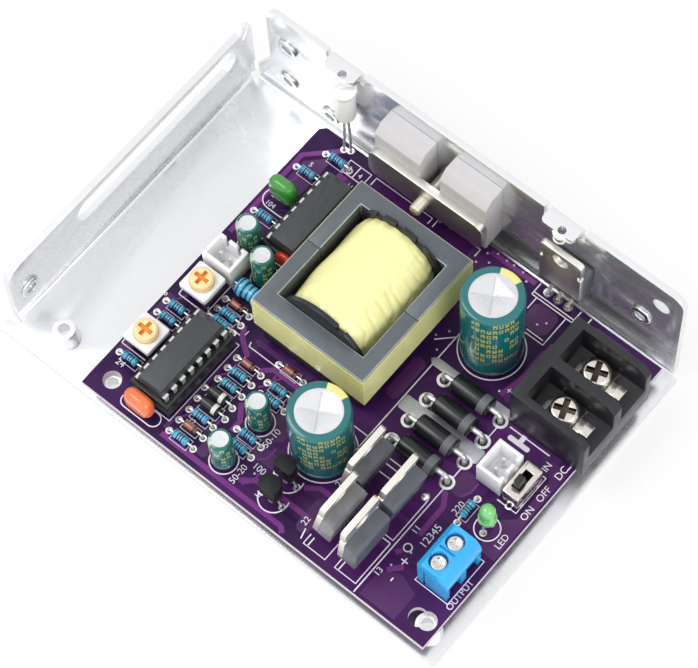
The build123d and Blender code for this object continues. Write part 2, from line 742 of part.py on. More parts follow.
def switch_knob():
    y = SW_Y - SW_TRAVEL / 2
    w = SW_W / 2 - SW_SHELL - MOVE_GAP
    low, high = SW_BASE_TOP + MOVE_GAP, SW_TOP - SW_SHELL - MOVE_GAP
    slider = block(SW_X - w, SW_X + w, y - 1.8, y + 1.8, low, high)
    stem = Pos(SW_X, y, (low + KNOB_TOP) / 2) * Box(KNOB_W, KNOB_L, KNOB_TOP - low)
    stem = chamfer(stem.faces().sort_by(Axis.Z)[-1].edges(), 0.2)
    return slider + stem


def switch_pins():
    return [pin(SW_X, SW_Y + dy, 0.3, 0.5, 0.7) for dy in (-2.0, 0, 2.0)]


def input_block():
    body = block(BAR_X0, BAR_X1, BAR_Y0, BAR_Y1, 0.2, BAR_H)
    for y0, y1 in bar_bays():
        body -= block(BAR_X0 + BAR_BACK, BAR_X1 + 1, y0, y1, BAR_DECK, BAR_H + 1)
        yc = (y0 + y1) / 2
        body -= post(BAR_SCREW_X, yc, 3.6, 2.0, BAR_DECK + 1)
        body -= block(BAR_TAIL, BAR_TAIL + 1.0, yc - TONGUE_W / 2, yc + TONGUE_W / 2, -1, BAR_DECK + 1)
    edge = body.edges().filter_by(Axis.Y).filter_by_position(Axis.X, BAR_X1 - 0.1, BAR_X1 + 0.1)
    edge = edge.filter_by_position(Axis.Z, BAR_H - 0.1, BAR_H + 0.1)
    return chamfer(edge, 2.0)


def bar_bays():
    half = BAR_DIVIDER / 2
    mid = (BAR_Y0 + BAR_Y1) / 2
    return [(BAR_Y0 + BAR_END, mid - half), (mid + half, BAR_Y1 - BAR_END)]


def bar_plates():
    plates = []
    for y0, y1 in bar_bays():
        yc = (y0 + y1) / 2
        x0 = BAR_TAIL
        half, slim = PLATE_W / 2, TONGUE_W / 2
        tip = BAR_SCREW_X + TONGUE_OUT
        plate = Pos(BAR_SCREW_X, yc, BAR_DECK + 0.4) * Box(2 * half, 2 * half, 0.8)
        plate += block(x0, tip, yc - slim, yc + slim, BAR_DECK, BAR_DECK + 0.8)
        plate += block(tip - 2.0, tip, yc - slim, yc + slim, BAR_DECK + 0.8, BAR_DECK + 1.4)
        plate += block(x0, x0 + 1.0, yc - slim, yc + slim, 0, BAR_DECK + 0.1)
        for dy in (-1.0, 1.0):
            plate += pin(x0 + 0.5, yc + dy, 0.1, 1.0, 1.0)
        plate -= post(BAR_SCREW_X, yc, 3.4, 0, 12)
        plates.append(plate)
    return plates


def bar_screws():
    screws = []
    base = BAR_DECK + 0.8
    for y0, y1 in bar_bays():
        yc = (y0 + y1) / 2
        side = PLATE_W / 2
        washer = block(BAR_SCREW_X - side, BAR_SCREW_X + side, yc - side, yc + side, base, base + 0.8)
        washer = fillet(washer.edges().filter_by(Axis.Z), 1.0)
        head = post(BAR_SCREW_X, yc, BAR_SCREW_D - 0.6, base + 0.8, base + 2.8)
        head = fillet(head.edges().filter_by(GeomType.CIRCLE).sort_by(Axis.Z)[-1], 0.9)
        for turn in (20, 110):
            head -= Pos(BAR_SCREW_X, yc, base + 2.8) * Rot(0, 0, turn) * Box(4.6, 1.3, 2.6)
        shank = post(BAR_SCREW_X, yc, 3.4, 2.6, base + 0.4)
        screws.append(washer + head + shank)
    return screws


def out_block():
    half = OUT_PITCH + OUT_END
    knee, bow = OUT_X0 + OUT_FLAT, 0.6
    mid = ((knee + OUT_X1) / 2 + bow, (OUT_H + OUT_SKIRT) / 2 + bow)
    outline = Polyline((knee, OUT_H), (OUT_X0 + OUT_EDGE, OUT_H), (OUT_X0, OUT_H - OUT_EDGE), (OUT_X0, 0.1),
                       (OUT_X1, 0.1), (OUT_X1, OUT_SKIRT))
    outline += ThreePointArc((OUT_X1, OUT_SKIRT), mid, (knee, OUT_H))
    body = extrude(Pos(0, OUT_Y + half, 0) * (Plane.XZ * make_face(outline)), 2 * half, dir=(0, -1, 0))
    body -= block(OUT_X0 + 1.4, OUT_X0 + 1.9, OUT_Y - half - 1, OUT_Y - half + 0.4, -1, OUT_H - 3.0)
    body -= block(OUT_X0 + 1.4, OUT_X0 + 1.9, OUT_Y + half - 0.4, OUT_Y + half + 1, -1, OUT_H - 3.0)
    for s in (-1, 1):
        yc = OUT_Y + s * OUT_PITCH / 2
        body -= post(OUT_SCREW_X, yc, 4.0, 5.4, OUT_H + 1)
        body -= block(OUT_X0 + 1.2, OUT_SCREW_X + 2.2, yc - 2.05, yc + 2.05, 1.4, 5.6)
        body -= block(OUT_SCREW_X + 2.1, OUT_X1 + 1, yc - 1.7, yc + 1.7, 1.0, OUT_SKIRT - 0.3)
        body -= block(OUT_X1 - 1.0, OUT_X1 + 1, yc - 1.7, yc + 1.7, -1, 1.1)
        body -= block(OUT_SCREW_X - 0.5, OUT_SCREW_X + 0.5, yc - 0.5, yc + 0.5, 0, 2)
    body -= block(OUT_SCREW_X - 1.85, OUT_SCREW_X + 1.85, OUT_Y - 0.25, OUT_Y + 0.25, OUT_H - 1.0, OUT_H + 1)
    return body


def out_clamps():
    """Cage clamps at the bottom of the wire entries, with their solder legs."""
    clamps = []
    for s in (-1, 1):
        yc = OUT_Y + s * OUT_PITCH / 2
        x0, x1 = OUT_X0 + 1.2, OUT_SCREW_X + 2.2
        cage = block(x0, x1, yc - 2.05, yc + 2.05, 1.4, 5.6)
        cage -= block(x0 - 1, x1 + 1, yc - 1.55, yc + 1.55, 1.9, 4.9)
        cage -= post(OUT_SCREW_X, yc, 2.5, 4, 7)
        clamps.append(cage + pin(OUT_SCREW_X, yc, 1.4, 1.0, 1.0))
    return clamps


def out_screws():
    screws = []
    for s in (-1, 1):
        yc = OUT_Y + s * OUT_PITCH / 2
        head = post(OUT_SCREW_X, yc, OUT_SCREW_D, 7.0, OUT_SCREW_TOP)
        head = fillet(head.edges().filter_by(GeomType.CIRCLE).sort_by(Axis.Z)[-1], 0.3)
        for turn in (35, 125):
            head -= Pos(OUT_SCREW_X, yc, OUT_SCREW_TOP) * Rot(0, 0, turn) * Box(2.2, 0.6, 1.6)
        screws.append(head + post(OUT_SCREW_X, yc, 2.5, 4.2, 7.2))
    return screws


def led():
    body = post(LED_X, LED_Y, LED_FLANGE, LED_Z0, LED_Z0 + 1.0)
    lens = post(LED_X, LED_Y, LED_D, LED_Z0 + 0.9, LED_TOP)
    lens = fillet(lens.edges().filter_by(GeomType.CIRCLE).sort_by(Axis.Z)[-1], LED_D / 2 - 0.1)
    return body + lens


def rectifiers():
    bodies = []
    leads = []
    z = DIODE_D / 2 + 0.5
    mid = (DIODE_X0 + DIODE_X1) / 2
    w = DIODE_LEAD
    for y in DIODE_YS:
        x0, x1 = mid - DIODE_L / 2, mid + DIODE_L / 2
        body = rod_x(x0, x1, y, z, DIODE_D)
        bodies.append(chamfer(body.edges().filter_by(GeomType.CIRCLE), 0.3))
        for inner, outer in ((x0, DIODE_X0), (x1, DIODE_X1)):
            path = FilletPolyline((inner, y, z), (outer, y, z), (outer, y, -BOARD_T - CLIP), radius=1.0)
            leads.append(sweep(Plane(path @ 0, z_dir=path % 0) * Circle(w / 2), path=path))
    return bodies, leads


def transistor():
    """Case and lead frame, metal face at x = 0, case bottom at z = 0, body to +X."""
    half = TAB_W / 2
    case = block(TAB_T, CASE_T, -half, half, 0, CASE_H)
    case += block(0.0, TAB_T, -half, half, 0, 0.9)
    top_edge = case.edges().filter_by(Axis.Y).sort_by(Axis.Z)[-2:].sort_by(Axis.X)[-1]
    case = chamfer(top_edge, 0.7)
    tab = block(0, TAB_T, -half, half, 0.9, FULL_H)
    tips = tab.edges().filter_by(Axis.X).sort_by(Axis.Z)[-2:]
    tab = chamfer(tips, TAB_CORNER)
    tab -= rod_x(-1, 3, 0, FULL_H - 2.8, TAB_BORE)
    for s in (-1, 1):
        tab -= block(-1, 3, s * half - 0.7, s * half + 0.7, CASE_H + 0.5, CASE_H + 1.9)
    return case, tab


def leg_strip(profile, y):
    """A thin bent leg: profile points in X and Z, thickness added across X."""
    pts = [(x - LEG_T / 2, z) for x, z in profile]
    pts += [(x + LEG_T / 2, z) for x, z in reversed(profile)]
    face = make_face(Polyline(*pts, close=True))
    return extrude(Pos(0, y + LEG_W / 2, 0) * (Plane.XZ * face), LEG_W, dir=(0, -1, 0))


def leaning_transistors():
    cases = []
    tabs = []
    for x, y, lean in LEANERS:
        case, tab = transistor()
        run = math.tan(math.radians(lean))
        foot = 0.8
        top = CASE_LIFT
        reach = (top - foot) * run
        origin_x = x + reach - LEG_BACK * math.cos(math.radians(lean))
        origin_z = top + LEG_BACK * math.sin(math.radians(lean))
        place = Pos(origin_x, y, origin_z) * Rot(0, lean, 0)
        cases.append(place * case)
        frame = [place * tab]
        for dy in (-PITCH, 0, PITCH):
            up = (x + reach, top)
            low = (x, -BOARD_T - CLIP)
            frame.append(leg_strip([low, (x, foot), up], y + dy) - place * case)
            holes.append((x, y + dy, LEG_T, LEG_W))
        tabs.append(frame)
    return cases, tabs


def upright_transistor():
    case, tab = transistor()
    turn = Pos(UPRIGHT_X, UPRIGHT_FACE_Y, UPRIGHT_LIFT) * Rot(0, 0, 90)
    legs = []
    for dx in (-PITCH, 0, PITCH):
        spot = Pos(UPRIGHT_X + dx, UPRIGHT_PAD_Y, 0) * Rot(0, 0, 90)
        shift = UPRIGHT_FACE_Y + LEG_BACK - UPRIGHT_PAD_Y
        run = [(0, -BOARD_T - CLIP), (0, 0.8), (shift, 2.8), (shift, UPRIGHT_LIFT)]
        legs.append(spot * leg_strip(run, 0))
        holes.append((UPRIGHT_X + dx, UPRIGHT_PAD_Y, LEG_W, LEG_T))
    return turn * case, [turn * tab] + legs


def capped_transistors():
    cases = []
    frames = []
    y_back = WALL_IN - CAP_WALL
    for x in CAP_XS:
        case, tab = transistor()
        turn = Pos(x, y_back, CAP_Z0 + 1.0) * Rot(0, 0, -90)
        cases.append(turn * case)
        legs = [turn * tab]
        for dx in (-PITCH, 0, PITCH):
            spot = Pos(x + dx, CAP_PAD_Y, 0) * Rot(0, 0, -90)
            shift = CAP_PAD_Y - (y_back - LEG_BACK)
            run = [(0, -BOARD_T - CLIP), (0, 0.5), (shift, 1.9), (shift, CAP_Z0 + 1.0)]
            legs.append(spot * leg_strip(run, 0))
            holes.append((x + dx, CAP_PAD_Y, LEG_W, LEG_T))
        frames.append(legs)
    return cases, frames


def silicone_cap(x):
    half = CAP_W / 2
    cap = block(x - half, x + half, WALL_IN - CAP_DEEP, WALL_IN, CAP_Z0, CAP_Z1)
    cap = chamfer(cap.edges().filter_by(Axis.X).sort_by(Axis.Z)[-2:].sort_by(Axis.Y)[0], CAP_CHAMFER)
    inner = TAB_W / 2 + 0.1
    hollow = block(x - inner, x + inner, WALL_IN - CAP_WALL - CASE_T, WALL_IN - CAP_WALL,
                   CAP_Z0 - 1, CAP_Z0 + 1.0 + CASE_H)
    hollow += block(x - inner, x + inner, WALL_IN - CAP_WALL - TAB_T - 0.1, WALL_IN - CAP_WALL,
                    CAP_Z0 - 1, CAP_Z1 - 1.0)
    return cap - hollow


def clamp_bar():
    x0 = CAP_XS[0] - CAP_W / 2 - CLAMP_OVER / 2
    x1 = CAP_XS[1] + CAP_W / 2 + CLAMP_OVER / 2
    face = WALL_IN - CAP_DEEP
    bar = block(x0, x1, face - CLAMP_T, face, CLAMP_Z0, CLAMP_Z1)
    bar = fillet(bar.edges().filter_by(Axis.Y), 2.2)
    z = (CLAMP_Z0 + CLAMP_Z1) / 2
    return bar - rod_y((x0 + x1) / 2, face - 5, face + 5, z, CLAMP_ROD)


def clamp_screw():
    """Comes in through the wall; its head is outside and its tip stands out in front."""
    x = sum(CAP_XS) / 2
    z = (CLAMP_Z0 + CLAMP_Z1) / 2
    tip = WALL_IN - CAP_DEEP - CLAMP_T - CLAMP_TIP
    rod = rod_y(x, tip, TRAY_DEPTH, z, CLAMP_ROD)
    rod = chamfer(rod.edges().filter_by(GeomType.CIRCLE).sort_by(Axis.Y)[0], 0.4)
    return rod


def heat_sensor():
    body = post(HEAT_X, HEAT_Y, HEAT_D, HEAT_Z0, HEAT_Z1)
    body = fillet(body.edges().filter_by(GeomType.CIRCLE).sort_by(Axis.Z)[0], 1.6)
    return body + post(HEAT_X, HEAT_Y, HEAT_RIM, HEAT_Z1, HEAT_Z1 + HEAT_RIM_T)


def heat_sensor_legs():
    legs = []
    for i, (px, back) in enumerate(HEAT_PADS):
        py = WALL_IN - back
        x = HEAT_X + (-0.6 if i == 0 else 0.6)
        w = 0.7
        leg = pin(px, py, 2.0, w, w)
        low = Pos(px, py, 2.0) * Rectangle(w, w)
        high = Pos(x, HEAT_Y, HEAT_Z0) * Rectangle(w, w)
        legs.append(leg + loft([low, high]))
    return legs


def to92(x, y):
    face = Circle(2.35) & Pos(0, 0.65) * Rectangle(6, 4)
    return extrude(Pos(x, y, TO92_Z0) * face, TO92_L)


def resistor(x, y, turn):
    body = rod_x(-RES_L / 2, RES_L / 2, 0, 0, RES_D * 0.84)
    for s in (-1, 1):
        a = s * RES_L / 2
        b = s * (RES_L / 2 - 0.8)
        body += rod_x(min(a, b), max(a, b), 0, 0, RES_D)
    return Pos(x, y, RES_D / 2 + 0.25) * Rot(0, 0, turn) * body


def small_bodies():
    resistors = [resistor(x, y, 0) for x, y in RESISTORS]
    resistors.append(resistor(LAMP_RESISTOR_X, LAMP_RESISTOR_Y, 90))
    blacks = [rod_x(x - 2.1, x + 2.1, y, 1.5, 2.4) for x, y in BLACK_DIODES]
    half = GLASS_L / 2
    glass = [rod_x(x - half, x + half, y, 1.1, GLASS_D) for x, y in GLASS_DIODES]
    return resistors, blacks, glass


def axial_leads():
    legs = []
    rows = [(RESISTORS, RES_L, RES_PITCH, RES_D / 2 + 0.25, 0.45)]
    rows += [(BLACK_DIODES, 4.2, 7.4, 1.5, 0.6)]
    rows += [(GLASS_DIODES, GLASS_L, 6.4, 1.1, 0.45)]
    rows += [([RINGED], RINGED_L, RINGED_L + 1.8, RINGED_D / 2 + 0.5, 0.6)]
    mid = LAMP_RESISTOR_Y
    near = (mid - RES_L / 2, mid - RES_PITCH / 2)
    far = (mid + RES_L / 2, mid + RES_PITCH / 2)
    legs.extend(wire_y(near, far, LAMP_RESISTOR_X, RES_D / 2 + 0.25, 0.45))
    for spots, length, pitch, z, w in rows:
        for x, y in spots:
            left = (x - length / 2, x - pitch / 2)
            right = (x + length / 2, x + pitch / 2)
            legs.extend(wire(left, right, y, z, w))
    return legs


def ringed_part():
    x, y = RINGED
    z = RINGED_D / 2 + 0.5
    body = rod_x(x - RINGED_L / 2, x + RINGED_L / 2, y, z, RINGED_D - 0.7)
    for s in (-1, 1):
        a = x + s * RINGED_L / 2
        b = x + s * (RINGED_L / 2 - 2.2)
        body += rod_x(min(a, b), max(a, b), y, z, RINGED_D)
    return chamfer(body.edges().filter_by(GeomType.CIRCLE).sort_by(Axis.X)[-1], 0.8)


def dipped(x, y, wide, deep, high, z0):
    """A dipped capacitor: a rounded slab with soft edges."""
    slab = Pos(x, y, z0 + high / 2) * Box(wide, deep, high)
    slab = fillet(slab.edges().filter_by(Axis.Y), wide * 0.32)
    front = slab.faces().sort_by(Axis.Y)[0].edges()
    back = slab.faces().sort_by(Axis.Y)[-1].edges()
    return chamfer(front + back, deep * 0.28)


def build_all():
    save("wall_clinch_nuts", clinch_nuts())
    save("core_half_front", [core_half(-1)])
    save("core_half_rear", [core_half(1)])
    save("transformer_bobbin", [bobbin()])
    save("transformer_winding", [winding()])
    save("core_tape_band", [tape_band()])
    save("transformer_pins", transformer_pins())
    bulk_capacitors()
    cans, sleeves = small_capacitors()
    save("small_capacitor_cans", cans)
    save("small_capacitor_sleeves", sleeves)
    save("radial_leads", radial_leads())
    for i, (x, y) in enumerate(CHIPS):
        save("chip_socket_" + str(i + 1), [chip_socket(x, y)])
        save("chip_" + str(i + 1), [chip(x, y)])
    save("chip_legs", chip_legs())
    save("socket_pins", socket_pins())
    for i, (x, y) in enumerate(POTS):
        save("trim_pot_" + str(i + 1) + "_body", [trim_pot_body(x, y)])
        save("trim_pot_" + str(i + 1) + "_dial", [trim_pot_dial(x, y)])
    save("trim_pot_pins", pot_pins())
    save("plug_headers", header_bodies())
    save("header_pins", header_pins())
    save("slide_switch_base", [switch_base()])
    save("slide_switch_cover", [switch_cover()])
    save("slide_switch_knob", [switch_knob()])
    save("slide_switch_pins", switch_pins())
    save("input_terminal_block", [input_block()])
    save("input_terminal_plates", bar_plates())
    save("input_terminal_screws", bar_screws())
    save("output_terminal_block", [out_block()])
    save("output_terminal_clamps", out_clamps())
    save("output_terminal_screws", out_screws())
    save("indicator_led", [led()])
    bodies, leads = rectifiers()
    save("rectifier_diode_bodies", bodies)
    save("rectifier_diode_leads", leads)
    for y in DIODE_YS:
        for x in (DIODE_X0, DIODE_X1):
            holes.append((x, y, DIODE_LEAD, DIODE_LEAD))
    cases, tabs = leaning_transistors()
    case, tab = upright_transistor()
    save("power_transistor_cases", cases + [case])
    save("power_transistor_frames", [s for group in tabs + [tab] for s in group])
    cases, frames = capped_transistors()
    save("capped_transistor_cases", cases)
    save("capped_transistor_frames", [s for group in frames for s in group])
    for i, x in enumerate(CAP_XS):
        save("silicone_cap_" + str(i + 1), [silicone_cap(x)])
    save("clamp_bar", [clamp_bar()])
    save("clamp_screw", [clamp_screw()])
    save("thermal_sensor", [heat_sensor()])
    save("thermal_sensor_legs", heat_sensor_legs())
    save("small_transistors", [to92(x, y) for x, y in TO92S])
    resistors, blacks, glass = small_bodies()
    save("resistor_bodies", resistors)
    save("black_diode_bodies", blacks)
    save("glass_diode_bodies", glass)
    save("ringed_resistor", [ringed_part()])
    save("axial_leads", axial_leads())
    save("dipped_capacitor_orange", [dipped(ORANGE[0], ORANGE[1], 7.0, 3.3, 6.0, 1.2)])
    save("dipped_capacitor_green", [dipped(GREEN[0], GREEN[1], 6.6, 3.2, 7.2, 1.2)])
    save("chassis_tray", [chassis_tray()])
    save("circuit_board", [circuit_board()])


build_all()
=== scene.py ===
import math

import bmesh
import bpy
from mathutils import Matrix, Vector, noise


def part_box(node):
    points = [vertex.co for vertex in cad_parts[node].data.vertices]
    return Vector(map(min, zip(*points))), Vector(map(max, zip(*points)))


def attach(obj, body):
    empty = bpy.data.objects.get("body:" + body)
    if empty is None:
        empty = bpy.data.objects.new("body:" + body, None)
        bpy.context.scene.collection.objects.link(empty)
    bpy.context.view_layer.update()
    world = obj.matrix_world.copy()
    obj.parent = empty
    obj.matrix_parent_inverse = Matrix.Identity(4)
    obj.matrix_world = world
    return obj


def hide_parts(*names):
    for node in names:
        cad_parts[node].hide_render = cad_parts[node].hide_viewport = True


# A power inverter board in its folded tray: finishes, rounded edges, turned parts, leads and print

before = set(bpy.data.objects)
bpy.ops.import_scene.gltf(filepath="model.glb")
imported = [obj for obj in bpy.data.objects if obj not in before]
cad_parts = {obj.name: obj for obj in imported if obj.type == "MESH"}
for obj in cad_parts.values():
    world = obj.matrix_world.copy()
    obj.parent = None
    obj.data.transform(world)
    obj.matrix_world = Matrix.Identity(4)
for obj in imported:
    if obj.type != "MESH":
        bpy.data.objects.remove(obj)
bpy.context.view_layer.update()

MM = 0.001
UPWARD = (0, 0, 1)
BASE = "board_in_tray"
BOARD_LOW, BOARD_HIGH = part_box("circuit_board")
TOP = BOARD_HIGH.z
UNDER = BOARD_LOW.z


def on_board(x, y, z=0.0):
    """A place in millimetres from the board's front left corner, on its upper face."""
    return Vector((BOARD_LOW.x + x * MM, BOARD_LOW.y + y * MM, TOP + z * MM))


# Materials


def linear(colour):
    """An sRGB hex colour as linear RGBA."""
    parts = [int(colour[i:i + 2], 16) / 255 for i in (0, 2, 4)]
    return [p / 12.92 if p <= 0.04045 else ((p + 0.055) / 1.055) ** 2.4 for p in parts] + [1.0]


def add(tree, kind, sockets=None, **settings):
    """Adds a node; a socket's value is either a number or colour, or an output to link."""
    node = tree.nodes.new(kind)
    for name, value in settings.items():
        setattr(node, name, value)
    for key, value in (sockets or {}).items():
        if isinstance(value, bpy.types.NodeSocket):
            tree.links.new(value, node.inputs[key])
        else:
            node.inputs[key].default_value = value
    return node


def finish(name, colour, rough, metal=0.0, grain=0.35, shade=0.86, dent=0.01, stretch=(1, 1, 1), **shader):
    """A surface whose speckle tints, roughens and dents it.

    Its grain is in millimetres. The frost of moulded plastic and the grain of ferrite, metal and ink are
    too fine to show at their real size, so they are drawn as coarse as they need to be seen.
    """
    material = bpy.data.materials.new(name)
    material.use_nodes = True
    tree = material.node_tree
    tree.nodes.clear()
    place = add(tree, "ShaderNodeTexCoord").outputs["Object"]
    drawn = add(tree, "ShaderNodeMapping", {"Vector": place, "Scale": stretch}).outputs["Vector"]
    waves = []
    for per_grain, detail in ((1.0, 5.0), (0.12, 3.0)):
        sockets = {"Vector": drawn, "Scale": per_grain / (grain * MM), "Detail": detail}
        waves.append(add(tree, "ShaderNodeTexNoise", sockets).outputs["Fac"])
    fine, broad = waves
    both = add(tree, "ShaderNodeMath", {0: fine, 1: broad}, operation="ADD").outputs[0]
    worn = add(tree, "ShaderNodeMapRange", {0: both, 1: 0.75, 2: 1.25}).outputs[0]
    full = linear(colour)
    dark = [c * shade for c in full[:3]] + [1.0]
    tint = add(tree, "ShaderNodeMix", {0: worn, 6: dark, 7: full}, data_type="RGBA").outputs[2]
    gloss = add(tree, "ShaderNodeMapRange", {0: worn, 3: rough * 1.2, 4: rough * 0.82}).outputs[0]
    relief = {"Height": fine, "Strength": 0.6, "Distance": dent * MM}
    bump = add(tree, "ShaderNodeBump", relief).outputs["Normal"]
    values = {"Base Color": tint, "Roughness": gloss, "Metallic": metal, "Normal": bump}
    values.update({key.replace("_", " "): value for key, value in shader.items()})
    body = add(tree, "ShaderNodeBsdfPrincipled", values)
    add(tree, "ShaderNodeOutputMaterial", {"Surface": body.outputs[0]})
    return material


def repaint(material, colour_output):
    """Puts a pattern's colour in place of the plain tint, which shades it a little."""
    tree = material.node_tree
    body = next(node for node in tree.nodes if node.bl_idname == "ShaderNodeBsdfPrincipled")
    tint = body.inputs["Base Color"].links[0].from_node
    for key in (6, 7):
        tree.links.new(colour_output, tint.inputs[key])
    return material


def bands(name, ground, stripes, rough, **settings):
    """A finish with rings at shares of the piece's own length, from its UV map."""
    material = finish(name, ground, rough, **settings)
    tree = material.node_tree
    split = add(tree, "ShaderNodeSeparateXYZ", {0: add(tree, "ShaderNodeTexCoord").outputs["UV"]})
    ramp = add(tree, "ShaderNodeValToRGB", {"Fac": split.outputs["Y"]})
    ramp.color_ramp.interpolation = "CONSTANT"
    ramp.color_ramp.elements[0].color = linear(ground)
    ramp.color_ramp.elements.remove(ramp.color_ramp.elements[1])
    for start, end, colour in stripes:
        ramp.color_ramp.elements.new(start).color = linear(colour)
        ramp.color_ramp.elements.new(end).color = linear(ground)
    return repaint(material, ramp.outputs["Color"])


def sleeve(name, teal, gold, stripe_colour, stripe_at, marks_at, columns, rows):
    """Shrink sleeve on a can: teal film, a pale stripe with chevrons, and rows of small gold marks.

    Places run from 0 to 1 around and up the can. A mark is a block with a gap cut by chance, so the
    rows look like print and spell nothing.
    """
    material = finish(name, teal, 0.2, grain=0.8, shade=0.8, dent=0.012, Coat_Weight=0.4)
    tree = material.node_tree
    split = add(tree, "ShaderNodeSeparateXYZ", {0: add(tree, "ShaderNodeTexCoord").outputs["UV"]})
    cell = add(tree, "ShaderNodeCombineXYZ")
    chance = add(tree, "ShaderNodeTexWhiteNoise", {"Vector": cell.outputs[0]}, noise_dimensions="2D")
    dice = add(tree, "ShaderNodeSeparateXYZ", {0: chance.outputs["Color"]})
    known = {"around": split.outputs["X"], "up": split.outputs["Y"],
             "gap dice": dice.outputs["X"], "skip dice": dice.outputs["Y"]}
    for made, operation, *values in (
        ("stripe", "COMPARE", "around", stripe_at, 0.065),
        ("aside", "SUBTRACT", "around", stripe_at),
        ("distance", "ABSOLUTE", "aside"),
        ("slant", "MULTIPLY_ADD", "distance", 2.4, "up"),
        ("phase", "MODULO", "slant", 0.13),
        ("stroke", "LESS_THAN", "phase", 0.028),
        ("below rim", "LESS_THAN", "up", 0.9),
        ("chevron", "MULTIPLY", "stroke", "below rim"),
        ("across", "MULTIPLY", "around", columns),
        ("tall", "MULTIPLY", "up", rows),
        ("column", "FLOOR", "across"),
        ("row", "FLOOR", "tall"),
        ("u", "FRACT", "across"),
        ("v", "FRACT", "tall"),
        ("block wide", "COMPARE", "u", 0.5, 0.36),
        ("block tall", "COMPARE", "v", 0.5, 0.34),
        ("block", "MULTIPLY", "block wide", "block tall"),
        ("gap at", "MULTIPLY_ADD", "gap dice", 0.6, 0.2),
        ("gap wide", "COMPARE", "u", 0.5, 0.14),
        ("gap tall", "COMPARE", "v", "gap at", 0.2),
        ("gap", "MULTIPLY", "gap wide", "gap tall"),
        ("cut", "MULTIPLY", "block", "gap"),
        ("mark", "SUBTRACT", "block", "cut"),
        ("printed", "GREATER_THAN", "skip dice", 0.3),
        ("drawn", "MULTIPLY", "mark", "printed"),
        ("rows zone", "COMPARE", "up", 0.62, 0.37),
        ("columns zone", "COMPARE", "around", marks_at, 0.13),
        ("zone", "MULTIPLY", "rows zone", "columns zone"),
        ("gold share", "MULTIPLY", "zone", "drawn"),
    ):
        sockets = dict(enumerate(known.get(value, value) for value in values))
        known[made] = add(tree, "ShaderNodeMath", sockets, operation=operation).outputs[0]
    tree.links.new(known["column"], cell.inputs["X"])
    tree.links.new(known["row"], cell.inputs["Y"])
    layers = []
    for share, under, over in (("gold share", teal, gold), ("chevron", stripe_colour, "8A8B52")):
        sockets = {0: known[share], 6: linear(under), 7: linear(over)}
        layers.append(add(tree, "ShaderNodeMix", sockets, data_type="RGBA").outputs[2])
    film, band = layers
    sockets = {0: known["stripe"], 6: film, 7: band}
    mixed = add(tree, "ShaderNodeMix", sockets, data_type="RGBA").outputs[2]
    return repaint(material, mixed)


def solder_mask(name, deep, lit, edge, patch=23.8):
    """Purple solder mask with paler patches; the sawn edges show the bare glass and resin."""
    material = finish(name, deep, 0.46, grain=0.5, shade=0.9, dent=0.004, Specular_IOR_Level=0.2)
    tree = material.node_tree
    place = add(tree, "ShaderNodeTexCoord").outputs["Object"]
    waves = {"Vector": place, "Scale": 1 / (patch * MM), "Detail": 2.0}
    cloud = add(tree, "ShaderNodeTexNoise", waves).outputs["Fac"]
    amount = add(tree, "ShaderNodeMapRange", {0: cloud, 1: 0.42, 2: 0.7, 3: 0.0, 4: 0.75}).outputs[0]
    shades = {0: amount, 6: linear(deep), 7: linear(lit)}
    ink = add(tree, "ShaderNodeMix", shades, data_type="RGBA").outputs[2]
    facing = add(tree, "ShaderNodeSeparateXYZ", {0: add(tree, "ShaderNodeNewGeometry").outputs["Normal"]})
    level = add(tree, "ShaderNodeMath", {0: facing.outputs["Z"]}, operation="ABSOLUTE").outputs[0]
    sawn = add(tree, "ShaderNodeMath", {0: level, 1: 0.3}, operation="LESS_THAN").outputs[0]
    colour = add(tree, "ShaderNodeMix", {0: sawn, 6: ink, 7: linear(edge)}, data_type="RGBA").outputs[2]
    return repaint(material, colour)


# Folded aluminium sheet: mill finish, drawn along the sheet, so highlights run long
TRAY = finish("aluminium_sheet_mill", "ECEDEF", 0.26, metal=0.86, grain=2.6, shade=0.985, dent=0.0006,
              stretch=(0.1, 1, 1))
# Pressed nuts, zinc plated: bright with a faint cloud
ZINC = finish("steel_zinc_plated", "E6E8EA", 0.24, metal=1.0, grain=0.9, shade=0.85, dent=0.004)
# Clamp bar, dull zinc over rolled steel: satin, with faint lines along the bar
CLAMP = finish("steel_bar_dull_zinc", "E4E4DE", 0.36, metal=1.0, grain=0.7, shade=0.9, dent=0.004,
               stretch=(0.2, 1, 1))
# Clamp screw, yellow zinc: pale straw and soft, as worn threads are
YELLOW_ZINC = finish("steel_yellow_zinc", "EDE9DB", 0.45, metal=0.8, grain=0.3, dent=0.006)
# Terminal screws, plates and switch cover, nickel plated: warm and mirror bright
NICKEL = finish("steel_nickel_plated", "E6E2DB", 0.2, metal=1.0, grain=0.4, shade=0.85, dent=0.004)
# Cross slots of the screws: painted shade, a dark brown down in the recess
SLOT_SHADE = finish("steel_recess_painted_shade", "574B42", 0.4, metal=1.0, grain=0.3, shade=0.6, dent=0.01)
# Leads, hot tinned copper: grey white and a little wavy
TINNED = finish("copper_tinned", "E4E4E1", 0.3, metal=0.6, grain=0.25, dent=0.006)
# Solder frozen from a melt: small bright rings and cones
SOLDER = finish("solder_tin_lead", "F0EFF2", 0.3, metal=1.0, grain=0.2, shade=0.9, dent=0.01)
# Bare copper areas tinned by the solder wave: dull and grey
TINNED_AREA = finish("solder_mask_opening_tinned", "BFC0C8", 0.42, metal=0.7, grain=0.3, shade=0.9,
                     dent=0.006)
# Painted shade in the mouth of each hole: a dark disc that makes every pad look like a ring
HOLE_SHADE = finish("hole_mouth_painted_shade", "221B22", 0.2, grain=0.15, shade=0.6, dent=0.01, Coat_Weight=0.6)
# Tinned copper alloy tab: a satin face, matter than solder, that shows pale
TAB = finish("transistor_tab_tinned", "EEEBE4", 0.42, metal=1.0, grain=0.35, shade=0.86, dent=0.005,
             stretch=(1, 1, 0.15))
